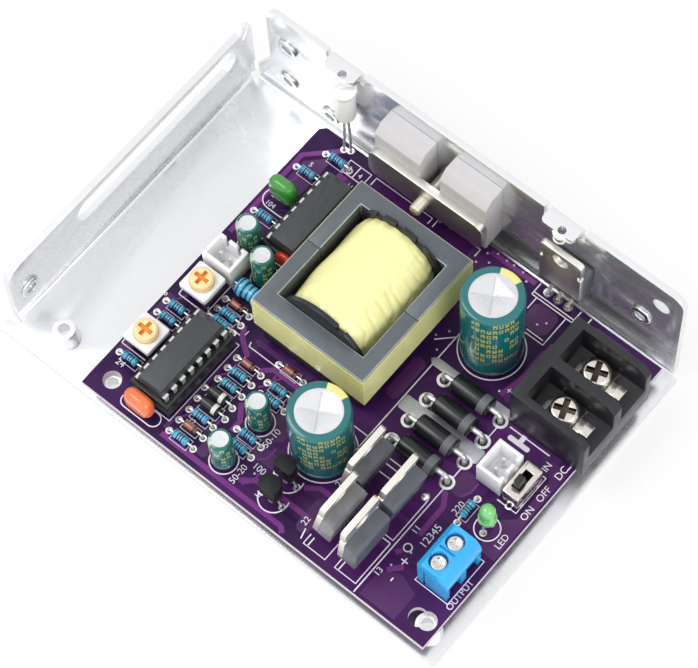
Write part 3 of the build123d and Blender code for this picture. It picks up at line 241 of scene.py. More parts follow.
# Solder mask: deep purple over laminate, and redder and lighter where copper lies under it
MASK = solder_mask("solder_mask_purple", "2C1040", "551E68", "CFC6CE")
POUR = finish("solder_mask_over_poured_copper", "50225E", 0.36, grain=0.6, shade=0.86, dent=0.004,
              Specular_IOR_Level=0.35)
TRACE = finish("solder_mask_over_copper", "762E82", 0.3, grain=0.6, shade=0.9, dent=0.004,
               Specular_IOR_Level=0.35)
# Screen printed epoxy ink: flat white, thin enough for the mask to tint it
LEGEND = finish("legend_ink_white", "F3EEF7", 0.5, grain=0.2, shade=0.93, dent=0.003)
# Sintered manganese zinc ferrite: fine dull grain with a graphite shine, pale on its rounded edges, partly
# worn and chipped and partly a painted highlight
FERRITE = finish("ferrite_sintered", "5F666B", 0.4, metal=0.12, grain=0.22, shade=0.84, dent=0.012)
FERRITE_EDGE_WEAR_AND_HIGHLIGHT = finish("ferrite_edge_wear_and_painted_highlight", "A9ADB0", 0.4, metal=0.1, grain=0.2, shade=0.7, dent=0.012)
# Phenolic resin, moulded: black with a hard gloss
PHENOLIC = finish("phenolic_black", "1E2025", 0.3, grain=0.3, dent=0.01)
# Polyester tape: lemon and glossy where it is wound, greener where ferrite shows through the band
TAPE_WRAP = finish("polyester_tape_yellow", "FAF6AE", 0.24, grain=2.2, shade=0.94, dent=0.05, Coat_Weight=0.3)
TAPE_BAND = finish("polyester_tape_greenish", "F5F2A6", 0.3, grain=2.6, shade=0.93, dent=0.03,
                   Coat_Weight=0.2)
# Etched aluminium can: nearly white, with no sharp highlight
CAN = finish("aluminium_can_etched", "D6D7DA", 0.55, metal=0.8, grain=0.2, shade=0.93, dent=0.003)
# Shrink sleeves, printed in gold: a wet gloss drawn tight over the can
SLEEVE_BIG = sleeve("shrink_sleeve_teal_large", "136A6C", "AFAD62", "E6DF86", 0.25, 0.875, 34.0, 11.0)
SLEEVE_SMALL = sleeve("shrink_sleeve_teal_small", "1A6A62", "A9B27C", "A9C2AC", 0.64, 0.86, 13.0, 6.0)
# Epoxy moulding compound: charcoal, with the fine frost of an eroded mould, in lighter and darker batches
EPOXY = finish("epoxy_moulding_black", "3D4045", 0.45, grain=0.18, shade=0.82, dent=0.012)
EPOXY_GREY = finish("epoxy_moulding_grey", "5B5D67", 0.36, grain=0.2, shade=0.84, dent=0.01)
EPOXY_PALE = finish("epoxy_moulding_pale_grey", "85868D", 0.36, grain=0.2, shade=0.84, dent=0.01)
EPOXY_DARK = finish("epoxy_moulding_dark", "101114", 0.5, grain=0.2, shade=0.8, dent=0.01,
                    Specular_IOR_Level=0.3)
# Glass filled polyester, moulded: black with a soft shine
SOCKET = finish("polyester_socket_black", "1E2024", 0.34, grain=0.3, dent=0.008)
# Painted shade under each trim pot's white plate, in black
POT_UNDER_SHADE = finish("pot_case_painted_shade_under_plate", "26262B", 0.4, grain=0.3, shade=0.85, dent=0.008)
# Nylon, moulded: milky white, and pale orange in the dials, with a deeper orange painted as shade down in
# their slots
NYLON = finish("nylon_natural_white", "F6F5F7", 0.36, grain=0.5, shade=0.96, dent=0.006,
               Subsurface_Weight=0.06)
DIAL = finish("nylon_dial_orange", "FFDDA4", 0.4, grain=0.4, shade=0.93, dent=0.006)
DIAL_SLOT_SHADE = finish("nylon_dial_slot_painted_shade", "F09A34", 0.5, grain=0.3, shade=0.85, dent=0.006)
# Polycarbonate and polyamide, moulded: the two terminals, black with a soft shine and clear sky blue
BARRIER = finish("polycarbonate_black", "1D1E23", 0.36, grain=0.3, shade=0.85, dent=0.006)
BLUE = finish("polyamide_terminal_blue", "2FAEF2", 0.28, grain=0.45, shade=0.92, dent=0.006,
              Subsurface_Weight=0.05)
# Tinted clear epoxy lens, cast: glassy green
LED = finish("epoxy_lens_green", "8FE88C", 0.14, grain=1.0, shade=0.9, dent=0.004, Transmission_Weight=0.3,
             Coat_Weight=0.5)
# Silicone rubber, pressed: dull pale grey
SILICONE = finish("silicone_rubber_grey", "C9C6C8", 0.55, grain=0.25, shade=0.95, dent=0.008)
# Dipped epoxy: pulled smooth and glossy as it sets
DIP_ORANGE = finish("dipped_epoxy_orange", "F7763F", 0.22, grain=0.9, shade=0.86, dent=0.03, Coat_Weight=0.5)
DIP_RED = finish("dipped_epoxy_red", "D0442C", 0.24, grain=0.9, shade=0.84, dent=0.03, Coat_Weight=0.4)
DIP_GREEN = finish("dipped_epoxy_green", "3B9A33", 0.22, grain=1.1, shade=0.82, dent=0.04, Coat_Weight=0.5)
# Fired ceramic: plain white and a little matt, with one grey ring of painted shade under its rim
SENSOR_WHITE = bands("ceramic_sensor_white_painted_rim_shade", "FAFAF8", [(0.86, 0.9, "6A6B6D")], 0.35, grain=0.5, shade=0.97)
# Lacquered resistors: glossy blue with painted rings
RESISTOR = bands("lacquer_blue_banded", "4CB4DE", [
    (0.1, 0.17, "1C5878"), (0.3, 0.38, "0E2433"), (0.46, 0.54, "0E2433"), (0.62, 0.7, "0E2433"),
    (0.84, 0.9, "1C5878"),
], 0.22, grain=0.3, Coat_Weight=0.4)
RINGED = bands("lacquer_pale_blue_banded", "58C6EC", [
    (0.1, 0.17, "24507A"), (0.26, 0.33, "24507A"), (0.42, 0.49, "24507A"), (0.58, 0.64, "24507A"),
], 0.2, grain=0.5, Coat_Weight=0.5)
# Diodes: black epoxy with a grey or white ring, and red brown glass with a black one
DIODE = bands("epoxy_diode_black_banded", "17181B", [(0.76, 0.95, "64656C")], 0.24, grain=0.25, shade=0.8)
DIODE_SMALL = bands("epoxy_diode_small_banded", "1A1B1D", [(0.7, 0.92, "DEDEDC")], 0.26, grain=0.25,
                    shade=0.8)
GLASS = bands("glass_diode_red_banded", "BE6C5C", [(0.72, 0.86, "15151A")], 0.06, grain=0.5,
              Transmission_Weight=0.35, Coat_Weight=0.6)


# Mesh helpers


def dress(obj, material, replaces=(), body=BASE, worn=None):
    """Gives a finished mesh its material, the CAD nodes it stands for and the body it rides on."""
    marks = [face.material_index for face in obj.data.polygons]
    obj.data.materials.clear()
    for coat in (material, worn) if worn else (material,):
        obj.data.materials.append(coat)
    if worn:
        obj.data.polygons.foreach_set("material_index", marks)
    if replaces:
        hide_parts(*replaces)
    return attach(obj, body)


def paint(obj, material, test):
    """A second material on the faces whose middle passes a test."""
    obj.data.materials.append(material)
    for face in obj.data.polygons:
        if test(face.center):
            face.material_index = len(obj.data.materials) - 1
    return obj


def placed(name, data):
    """A new object at the origin, linked to the scene."""
    obj = bpy.data.objects.new(name, data)
    bpy.context.scene.collection.objects.link(obj)
    return obj


def meshed(name, bm):
    """A plain mesh from a finished bmesh, which is freed."""
    mesh = bpy.data.meshes.new(name)
    bm.to_mesh(mesh)
    bm.free()
    return mesh


def to_object(name, mesh, smooth=35):
    """A mesh object, smooth but for the edges sharper than an angle in degrees."""
    mesh.polygons.foreach_set("use_smooth", [True] * len(mesh.polygons))
    mesh.set_sharp_from_angle(angle=math.radians(smooth))
    return placed(name, mesh)


def settle(obj, name):
    """Applies an object's modifiers and puts the result in a plain mesh object."""
    bpy.context.view_layer.update()
    graph = bpy.context.evaluated_depsgraph_get()
    mesh = bpy.data.meshes.new_from_object(obj.evaluated_get(graph), depsgraph=graph)
    mesh.name = name
    bpy.data.objects.remove(obj)
    return to_object(name, mesh)


def merged(node):
    """A copy of a CAD node's mesh with its loose triangles joined and its flats made whole."""
    bm = bmesh.new()
    bm.from_mesh(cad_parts[node].data)
    bmesh.ops.remove_doubles(bm, verts=bm.verts, dist=2e-6)
    bmesh.ops.dissolve_limit(bm, angle_limit=math.radians(0.8), verts=bm.verts, edges=bm.edges)
    return bm


def soften(node, material, edge=0.12, cuts=2, body=BASE, angle=38, worn=None):
    """The CAD node again, its edges sharper than an angle rounded over as a mould or press leaves them."""
    obj = placed(node + "_soft", meshed(node + "_soft", merged(node)))
    bevel = obj.modifiers.new("edge", "BEVEL")
    bevel.width = edge * MM
    bevel.segments = cuts
    bevel.limit_method = "ANGLE"
    bevel.angle_limit = math.radians(angle)
    bevel.use_clamp_overlap = True
    # A second material on the rounded edges: on the ferrite it is partly wear and partly a painted highlight
    if worn:
        obj.data.materials.append(material)
        obj.data.materials.append(worn)
        bevel.material = 1
    return dress(settle(obj, node + "_rounded"), material, [node], body, worn)


def pieces(node):
    """The corner points of each separate solid in a CAD node."""
    bm = bmesh.new()
    bm.from_mesh(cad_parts[node].data)
    bmesh.ops.remove_doubles(bm, verts=bm.verts, dist=1e-6)
    groups = []
    left = set(bm.verts)
    while left:
        todo = [left.pop()]
        group = []
        while todo:
            vert = todo.pop()
            group.append(vert.co.copy())
            for edge in vert.link_edges:
                other = edge.other_vert(vert)
                if other in left:
                    left.remove(other)
                    todo.append(other)
        groups.append(group)
    bm.free()
    return sorted(groups, key=lambda g: tuple(round(min(p[i] for p in g), 5) for i in range(3)))


def corners(group):
    """The lowest and the highest corner of some points."""
    return tuple(Vector(pick(p[i] for p in group) for i in range(3)) for pick in (min, max))


def islands(node):
    """The low and high corners of each separate solid."""
    return [corners(group) for group in pieces(node)]


def tips(group):
    """The middle of a leg's lower end and of its upper end."""
    low, high = corners(group)
    foot = [p for p in group if p.z < low.z + 0.05 * MM]
    head = [p for p in group if p.z > high.z - 0.05 * MM]
    return sum(foot, Vector()) / len(foot), sum(head, Vector()) / len(head)


def lathe(bm, profile, foot, axis, sides):
    """Turns a profile of (radius, height) in millimetres about an axis, with a UV map of turn and height."""
    uv = bm.loops.layers.uv.verify()
    turn = Vector(UPWARD).rotation_difference(Vector(axis)).to_matrix()
    low, high = profile[0][1], profile[-1][1]
    rows = []
    for radius, height in profile:
        ring = []
        for i in range(1 if radius == 0 else sides):
            a = math.tau * i / sides
            point = Vector((radius * math.cos(a), radius * math.sin(a), height)) * MM
            ring.append(bm.verts.new(Vector(foot) + turn @ point))
        rows.append((ring, (height - low) / (high - low)))
    for (a, va), (b, vb) in zip(rows, rows[1:]):
        for i in range(sides):
            j = (i + 1) % sides
            near, far = i / sides, (i + 1) / sides
            if len(a) == 1:
                spots = [(a[0], near, va), (b[j], far, vb), (b[i], near, vb)]
            elif len(b) == 1:
                spots = [(a[i], near, va), (a[j], far, va), (b[0], near, vb)]
            else:
                spots = [(a[i], near, va), (a[j], far, va), (b[j], far, vb), (b[i], near, vb)]
            face = bm.faces.new([spot[0] for spot in spots])
            for loop, (_, u, v) in zip(face.loops, spots):
                loop[uv].uv = (u, v)


def turned(name, profiles, material, replaces, sides=40, smooth=35):
    """One piece from several lathe profiles, each (profile, foot, axis)."""
    bm = bmesh.new()
    for profile, foot, axis in profiles:
        lathe(bm, profile, foot, axis, sides)
    bmesh.ops.recalc_face_normals(bm, faces=bm.faces)
    return dress(to_object(name, meshed(name, bm), smooth), material, replaces, BASE)


def centre(box):
    return (box[0] + box[1]) / 2


def foot_of(box):
    """The middle of a box's underside."""
    return Vector((centre(box).x, centre(box).y, box[0].z))


def size(box):
    """A box's three sizes in millimetres."""
    return (box[1] - box[0]) / MM


def rounded(radius, length, edge, steps=4):
    """The profile of a round bar with rolled-over ends."""
    points = [(0, 0)]
    for i in range(steps + 1):
        a = math.pi / 2 * i / steps
        points.append((radius - edge + edge * math.sin(a), edge - edge * math.cos(a)))
    for i in range(steps + 1):
        a = math.pi / 2 * i / steps
        points.append((radius - edge + edge * math.cos(a), length - edge + edge * math.sin(a)))
    return points + [(0, length)]


# Geometry Nodes: one round body on many points, and one flat profile along many paths


def node_group(name, inputs):
    """A new tree with a geometry input and sizes in metres, and the outputs of its input node."""
    tree = bpy.data.node_groups.new(name, "GeometryNodeTree")
    tree.interface.new_socket("Geometry", in_out="INPUT", socket_type="NodeSocketGeometry")
    for title in inputs:
        socket = tree.interface.new_socket(title, in_out="INPUT", socket_type="NodeSocketFloat")
        socket.default_value = MM
    tree.interface.new_socket("Geometry", in_out="OUTPUT", socket_type="NodeSocketGeometry")
    return tree, add(tree, "NodeGroupInput").outputs


def close_group(tree, geometry, material):
    real = add(tree, "GeometryNodeRealizeInstances", {0: geometry}).outputs[0]
    coated = add(tree, "GeometryNodeSetMaterial", {0: real, "Material": material}).outputs[0]
    add(tree, "NodeGroupOutput", {0: coated})
    return tree


def studs_tree(material):
    """A small cone or disc on every point."""
    tree, given = node_group("studs_" + material.name, ["Base Radius", "Top Radius", "Height"])
    cone = add(tree, "GeometryNodeMeshCone", {
        "Vertices": 14, "Radius Top": given["Top Radius"], "Radius Bottom": given["Base Radius"],
        "Depth": given["Height"]}).outputs["Mesh"]
    spread = add(tree, "GeometryNodeInstanceOnPoints", {"Points": given["Geometry"], "Instance": cone})
    return close_group(tree, spread.outputs[0], material)


def strip(tree, given, path, caps=False):
    """A flat strip along a path that lies level: its width runs level and its thickness upright."""
    flat = add(tree, "GeometryNodeSetCurveNormal", {0: path}, mode="Z_UP").outputs[0]
    section = {"Width": given["Width"], "Height": given["Thickness"]}
    profile = add(tree, "GeometryNodeCurvePrimitiveQuadrilateral", section).outputs[0]
    return add(tree, "GeometryNodeCurveToMesh", {0: flat, 1: profile, "Fill Caps": caps}).outputs[0]


def rings_tree(material):
    """A flat ring on every point."""
    tree, given = node_group("rings_" + material.name, ["Radius", "Width", "Thickness"])
    hoop = {"Resolution": 20, "Radius": given["Radius"]}
    circle = add(tree, "GeometryNodeCurvePrimitiveCircle", hoop).outputs[0]
    ring = strip(tree, given, circle)
    spread = add(tree, "GeometryNodeInstanceOnPoints", {"Points": given["Geometry"], "Instance": ring})
    return close_group(tree, spread.outputs[0], material)


def lines_tree(material):
    """A flat strip along every path."""
    tree, given = node_group("lines_" + material.name, ["Width", "Thickness"])
    return close_group(tree, strip(tree, given, given["Geometry"], True), material)


def grown(name, source, tree, sizes, material):
    """Runs a tree over a source, its sizes in millimetres, and keeps the result as one plain mesh."""
    obj = placed(name + "_source", source)
    modifier = obj.modifiers.new("grow", "NODES")
    modifier.node_group = tree
    for item in tree.interface.items_tree:
        if item.in_out == "INPUT" and item.name in sizes:
            modifier[item.identifier] = sizes[item.name] * MM
    return dress(settle(obj, name), material)


def scatter(name, points, tree, material, **sizes):
    """One body on every point, its sizes in millimetres."""
    mesh = bpy.data.meshes.new(name)
    mesh.from_pydata(points, [], [])
    return grown(name, mesh, tree, {key.replace("_", " "): value for key, value in sizes.items()}, material)


def curve_of(name, kind, paths):
    """A curve with one spline for each (points, closed) path."""
    curve = bpy.data.curves.new(name, "CURVE")
    curve.dimensions = "3D"
    for points, closed in paths:
        spline = curve.splines.new(kind)
        spline.points.add(len(points) - 1)
        for guide, p in zip(spline.points, points):
            guide.co = (p.x, p.y, p.z, 1.0)
        spline.use_cyclic_u = closed
        if kind == "NURBS":
            spline.use_endpoint_u = True
            spline.order_u = 3
    return curve


def lines(name, paths, tree, width, thick, material):
    return grown(name, curve_of(name, "POLY", paths), tree, {"Width": width, "Thickness": thick}, material)


def wires(name, routes, radius, replaces=()):
    """Round bent leads through a few guide points each."""
    curve = curve_of(name, "NURBS", [(route, False) for route in routes])
    curve.bevel_depth = radius * MM
    curve.bevel_resolution = 2
    curve.resolution_u = 5
    curve.use_fill_caps = True
    return dress(settle(placed(name + "_source", curve), name), TINNED, replaces, BASE)


# The tray, its nuts and the clamp

soften("chassis_tray", TRAY, edge=0.18, cuts=3, angle=50)
soften("wall_clinch_nuts", ZINC)
soften("clamp_bar", CLAMP, edge=0.3, cuts=3)


def clamp_screw():
    """The clamp's threaded shank: a crest every pitch of 0.5 mm, from its blunt tip to its end."""
    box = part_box("clamp_screw")
    crest, root, half_pitch, blunt, first, steps = 1.38, 1.22, 0.25, 1.0, 0.4, 47
    length = size(box).y
    thread = [(crest if i % 2 else root, first + half_pitch * i) for i in range(steps)]
    profile = [(0, 0), (blunt, 0)] + thread + [(root, length), (0, length)]
    tip = Vector((centre(box).x, box[0].y, centre(box).z))
    turned("clamp_screw_thread", [(profile, tip, (0, 1, 0))], YELLOW_ZINC, ["clamp_screw"],
           24, 80)


clamp_screw()

# The board

soften("circuit_board", MASK, edge=0.08, cuts=1, angle=60)

# Transformer

SEAM_REACH = 0.5 * MM
for node in ("core_half_front", "core_half_rear"):
    # Its rounded edges are paler, partly wear and partly a painted highlight
    half = soften(node, FERRITE, edge=0.22, worn=FERRITE_EDGE_WEAR_AND_HIGHLIGHT)
    low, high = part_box(node)
    seam = high.y if node.endswith("front") else low.y
    for face in half.data.polygons:
        if abs(face.center.y - seam) < SEAM_REACH:
            face.material_index = 0
soften("core_tape_band", TAPE_BAND, edge=0.05, cuts=1)
soften("transformer_bobbin", PHENOLIC, edge=0.15)


def tape_winding():
    """Yellow tape wrapped round the coil: a barrel that puckers at its ends, with two tape edges.

    Its radius is a share of the coil's. It falls towards the ends, ripples there, swells in lumps,
    steps up where the last turn laps over and wrinkles on the side where the tape is loose.
    """
    low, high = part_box("transformer_winding")
    mid = (low + high) / 2
    half_y = (high.y - low.y) / 2
    radius = (high.x - low.x) / 2
    rows, sides = 56, 120
    lap_from, lap_to, loose_at = 0.9, 2.6, 0.35
    bm = bmesh.new()
    rings = []
    for r in range(rows + 1):
        t = 2 * r / rows - 1
        edge = max(0.0, (abs(t) - 0.8) / 0.2)
        crown = 1 - 0.035 * t * t - 0.06 * edge ** 2
        ring = []
        for s in range(sides):
            a = math.tau * s / sides
            gathers = 0.014 * edge * math.sin(a * 17 + 2 * math.sin(a * 3))
            ripple = 0.006 * (1 - edge) * math.sin(a * 8 + 5 * t)
            lump = 0.02 * noise.noise(Vector((math.cos(a) * 2.2, math.sin(a) * 2.2, t * 1.7)))
            lap = 0.012 if lap_from < a < lap_to else 0.0
            loose = max(0.0, math.cos(a - loose_at)) ** 2
            wrinkle = max(0.0, 1 - 7 * abs(noise.noise(Vector((a * 1.3, t * 4.5, 2.4)))))
            share = crown * (0.975 + lap) + gathers + ripple + lump - 0.03 * loose * wrinkle
            reach = radius * min(1.0, share)
            spot = (mid.x + reach * math.cos(a), mid.y + half_y * t, mid.z + reach * math.sin(a))
            ring.append(bm.verts.new(spot))
        rings.append(ring)
    for a, b in zip(rings, rings[1:]):
        for s in range(sides):
            bm.faces.new((a[s], b[s], b[(s + 1) % sides], a[(s + 1) % sides]))
    for ring, way in ((rings[0], 1), (rings[-1], -1)):
        bm.faces.new(ring[::way])
    bmesh.ops.recalc_face_normals(bm, faces=bm.faces)
    wrap = to_object("tape_winding", meshed("tape_winding", bm), 50)
    return dress(wrap, TAPE_WRAP, ["transformer_winding"], BASE)


tape_winding()

# Capacitors


def sleeves(name, sleeve_nodes, film, lip, can_nodes=()):
    """Sleeves turned with their rolled rim and crimp waist, and the can tops where the CAD's are plain."""
    tops, wraps = [], []
    for node in sleeve_nodes:
        for box in islands(node):
            r = size(box).x / 2
            h = (box[1].z - TOP) / MM
            foot = Vector((centre(box).x, centre(box).y, TOP))
            wraps.append(([
                (lip - 0.3, 0.35), (r - 0.5, 0.35), (r - 0.1, 0.6), (r, 1.2), (r, 1.6), (r - 0.35, 1.95),
                (r - 0.35, 2.15), (r, 2.5), (r, h - 1.1), (r - 0.06, h - 0.5), (r - 0.3, h - 0.14),
                (r - 0.7, h), (lip, h - 0.02), (lip - 0.05, h - 0.25)], foot, UPWARD))
            tops.append(([(r - 0.4, 0.3), (r - 0.35, h - 1.0), (r - 0.7, h - 0.12), (lip, h - 0.1),
                          (lip * 0.5, h - 0.16), (0, h - 0.14)], foot, UPWARD))
    if can_nodes:
        turned(name + "_tops", tops, CAN, can_nodes)
    turned(name + "_sleeves", wraps, film, sleeve_nodes, 64)


BULK_SLEEVES = ["bulk_capacitor_1_sleeve", "bulk_capacitor_2_sleeve"]
sleeves("bulk_capacitor", BULK_SLEEVES, SLEEVE_BIG, 4.9)
for node in ("bulk_capacitor_1_can", "bulk_capacitor_2_can"):
    soften(node, CAN, edge=0.06)
sleeves("small_capacitor", ["small_capacitor_sleeves"], SLEEVE_SMALL, 1.8, ["small_capacitor_cans"])

# Chips, sockets, pots, headers, switch and terminals

PIN_NODES = ("socket_pins", "header_pins", "trim_pot_pins", "slide_switch_pins", "transformer_pins")
for node in ("chip_1", "chip_2"):
    soften(node, EPOXY)
for node in ("chip_socket_1", "chip_socket_2"):
    soften(node, SOCKET, edge=0.1)
for node in ("chip_legs", *PIN_NODES):
    soften(node, TINNED, edge=0.05, cuts=1)


def trim_pot(number, body):
    """White case, black below its foot height as painted shade under the plate, and a dial whose slot is a
    deeper orange of painted shade.
    """
    foot_height, slot_radius, rim = 4.35 * MM, 1.95 * MM, 0.02 * MM
    case = soften("trim_pot_" + number + "_body", NYLON, edge=0.15)
    # Below the foot height the case takes the painted shade
    paint(case, POT_UNDER_SHADE, lambda p: p.z < TOP + foot_height)
    name = "trim_pot_" + number + "_dial"
    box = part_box(name)
    dial = soften(name, DIAL, edge=0.06, body=body)
    # The faces down in the slot take the painted shade, a deeper orange
    paint(dial, DIAL_SLOT_SHADE, lambda p: (p - centre(box)).xy.length < slot_radius and p.z < box[1].z - rim)


trim_pot("1", "dial_one")
trim_pot("2", "dial_two")
soften("plug_headers", NYLON, edge=0.15)
soften("slide_switch_base", SOCKET, edge=0.1)
soften("slide_switch_cover", NICKEL, edge=0.1)
soften("slide_switch_knob", SOCKET, edge=0.15, body="switch_slider")
soften("input_terminal_block", BARRIER, edge=0.3, cuts=3)
soften("input_terminal_plates", NICKEL, edge=0.1)


def input_screws():
    """Two plated screws, with painted shade dark down in their cross slots."""
    slot_reach, below_head = 2.3 * MM, 0.25 * MM
    screws = soften("input_terminal_screws", NICKEL)
    heads = [centre(box) for box in islands("input_terminal_screws")]
    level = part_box("input_terminal_screws")[1].z - below_head
    # The faces down in each cross slot take the painted shade
    paint(screws, SLOT_SHADE, lambda p: p.z < level and min((p - head).xy.length for head in heads) < slot_reach)


input_screws()
soften("output_terminal_block", BLUE)
soften("output_terminal_clamps", NICKEL, edge=0.06, cuts=1)
soften("output_terminal_screws", NICKEL, edge=0.1)

LENS_R, LENS_SHOULDER, LENS_TOP = 1.65, 3.75, 5.4
turns = [math.pi / 16 * i for i in range(8)]
dome = [(LENS_R * math.cos(a), LENS_SHOULDER + LENS_R * math.sin(a)) for a in turns]
lens = [(0, 0), (1.85, 0), (1.9, 0.1), (1.9, 0.95), (1.7, 1.05), (LENS_R, 1.2)] + dome + [(0, LENS_TOP)]
turned("led_lens", [(lens, foot_of(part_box("indicator_led")), UPWARD)], LED, ["indicator_led"])

# Axial parts: turned bodies, and leads bent down to their pads


def lying(box):
    """For a round body that lies along X or Y: its start, its way, its length and its radius."""
    low, mid, (wide, deep, _) = box[0], centre(box), size(box)
    if wide > deep:
        return Vector((low.x, mid.y, mid.z)), Vector((1, 0, 0)), wide, deep / 2
    return Vector((mid.x, low.y, mid.z)), Vector((0, 1, 0)), deep, wide / 2


def lengthwise(node, profile_of):
    """A lathe profile for each small body, along whichever way it lies."""
    return [(profile_of(length, r), start, way) for start, way, length, r in map(lying, islands(node))]


def dogbone(length, r):
    """A small resistor: a thin waist between two end caps under one coat of lacquer."""
    return [(0, 0), (r * 0.7, 0.02), (r * 0.97, 0.2), (r, 0.45), (r * 0.96, 0.75), (r * 0.8, 1.05),
            (r * 0.8, length - 1.05), (r * 0.96, length - 0.75), (r, length - 0.45), (r * 0.97, length - 0.2),
            (r * 0.7, length - 0.02), (0, length)]


def large_dogbone(length, r):
    """The pale blue resistor: round shoulders, longer at its far end."""
    return [(0, 0), (r * 0.5, 0.05), (r * 0.86, 0.35), (r, 1.0), (r * 0.97, 1.8), (r * 0.82, 2.5),
            (r * 0.82, length - 2.9), (r * 0.95, length - 2.3), (r, length - 1.5), (r * 0.93, length - 0.7),
            (r * 0.6, length - 0.12), (0, length)]


def barrel(edge):
    return lambda length, r: rounded(r, length, edge)


for name, node, profile_of, coat, slot, sides, smooth in (
    ("resistor_coats", "resistor_bodies", dogbone, RESISTOR, "resistor_blue", 20, 35),
    ("ringed_coat", "ringed_resistor", large_dogbone, RINGED, "resistor_blue", 32, 60),
    ("rectifier_bodies", "rectifier_diode_bodies", barrel(0.35), DIODE, "black_moulding", 40, 35),
    ("small_diode_bodies", "black_diode_bodies", barrel(0.25), DIODE_SMALL, "black_moulding", 24, 35),
    ("glass_beads", "glass_diode_bodies", barrel(0.55), GLASS, "diode_glass", 20, 35),
):
    turned(name, lengthwise(node, profile_of), coat, [node], sides, smooth)


def axial_routes(lead_node, body_nodes, drop):
    """For each lead: out of the body's end, over the bend and down through the board."""
    ends = []
    for node in body_nodes:
        for start, way, length, _ in map(lying, islands(node)):
            ends += [(start, -way), (start + way * length * MM, way)]
    routes, feet = [], []
    for group in pieces(lead_node):
        foot, _ = tips(group)
        start, way = min(ends, key=lambda e: (e[0] - foot).xy.length)
        over = Vector((foot.x, foot.y, start.z))
        routes.append([start - way * 0.3 * MM, start, over, over - Vector((0, 0, drop * MM)), foot])
        feet.append((foot.x, foot.y))
    return routes, feet


small_bodies = ["resistor_bodies", "black_diode_bodies", "glass_diode_bodies", "ringed_resistor"]
routes, small_feet = axial_routes("axial_leads", small_bodies, 0.5)
wires("axial_wires", routes, 0.24, ["axial_leads"])
routes, diode_feet = axial_routes("rectifier_diode_leads", ["rectifier_diode_bodies"], 1.4)
wires("rectifier_wires", routes, 0.58, ["rectifier_diode_leads"])
routes, radial_feet = [], []
for group in pieces("radial_leads"):
    foot, head = tips(group)
    routes.append([foot, Vector((*foot.xy, TOP + 0.4 * MM)), head - Vector((0, 0, 0.5 * MM)),
                   head + Vector((0, 0, 0.2 * MM))])
    radial_feet.append((foot.x, foot.y))
wires("radial_wires", routes, 0.25, ["radial_leads"])

# Transistors, wall parts and dipped capacitors

cases = soften("power_transistor_cases", EPOXY_GREY, edge=0.15)
palest = min(islands("power_transistor_cases"), key=lambda b: b[0].x + b[0].y)
NEAR = 0.1 * MM
paint(cases, EPOXY_PALE, lambda p: all(palest[0][i] - NEAR <= p[i] <= palest[1][i] + NEAR for i in range(3)))
soften("power_transistor_frames", TAB, edge=0.08)
soften("capped_transistor_cases", EPOXY_DARK, edge=0.1)
soften("capped_transistor_frames", TAB, edge=0.06, cuts=1)
soften("small_transistors", EPOXY_DARK, edge=0.15)
for node in ("silicone_cap_1", "silicone_cap_2"):
    soften(node, SILICONE, edge=0.18)


def dipped(name, bm, coat, replaces=()):
    """A body dipped in resin: its corners drawn round as the liquid leaves them."""
    obj = placed(name + "_source", meshed(name, bm))
    remesh = obj.modifiers.new("coat", "REMESH")
    remesh.mode = "VOXEL"
    remesh.voxel_size = 0.3 * MM
    ease = obj.modifiers.new("ease", "SMOOTH")
    ease.iterations = 12
    return dress(settle(obj, name + "_coat"), coat, replaces, BASE)


for node, coat, slot in (("dipped_capacitor_orange", DIP_ORANGE, "dip_orange"),
                         ("dipped_capacitor_green", DIP_GREEN, "dip_green")):
    dipped(node, merged(node), coat, [node])


RED_AT, RED_RISE, RED_HALVES = (15.6, 45.4), 3.3, (2.7, 1.25, 2.4)
RED_LEGS = [(14.6, 45.4), (16.6, 45.4)]


def red_capacitor():
    """A small red disc on two legs, of which only the end shows beside the transformer."""
    disc = bmesh.new()
    stretch = Matrix.Diagonal((*(MM * h for h in RED_HALVES), 1))
    shape = Matrix.Translation(on_board(*RED_AT, RED_RISE)) @ stretch
    bmesh.ops.create_uvsphere(disc, u_segments=24, v_segments=16, radius=1.0, matrix=shape)
    dipped("dipped_capacitor_red", disc, DIP_RED)
    legs = [[on_board(*leg, z) for z in (-2.2, 0.5, 1.8)] for leg in RED_LEGS]
    wires("dipped_capacitor_red_legs", legs, 0.25)


red_capacitor()


def sensor():
    """A white ceramic thimble with a rolled rim, held over the board on two spread legs."""
    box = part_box("thermal_sensor")
    foot, h, tip, rim = foot_of(box), size(box).z, 1.6, 0.4
    r = size(box).x / 2 - rim
    bulb = [(r * math.sin(math.pi / 12 * i), tip - tip * math.cos(math.pi / 12 * i)) for i in range(1, 7)]
    thimble = [(0, 0)] + bulb + [
        (r, h - 1.3), (r + 0.35, h - 1.1), (r + rim, h - 0.9), (r + rim, h - 0.2), (r + 0.2, h), (r - 0.5, h),
        (r - 0.6, h - 0.3), (0, h - 0.3)]
    turned("sensor_body", [(thimble, foot, UPWARD)], SENSOR_WHITE, ["thermal_sensor"])
    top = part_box("thermal_sensor_legs")[1].z
    routes, feet = [], []
    for group, aside in zip(pieces("thermal_sensor_legs"), (-0.6, 0.6)):
        pad, _ = tips(group)
        x = foot.x + aside * MM
        routes.append([
            pad, Vector((*pad.xy, TOP + 0.6 * MM)),
            Vector((pad.x - 0.5 * MM, (pad.y + foot.y) / 2, TOP + 4.5 * MM)),
            Vector((x, foot.y, top - 1.5 * MM)), Vector((x, foot.y, top + 0.4 * MM))])
        feet.append((pad.x, pad.y))
    wires("sensor_wires", routes, 0.32, ["thermal_sensor_legs"])
    return feet


sensor_feet = sensor()

# Solder, pads and vias on the board

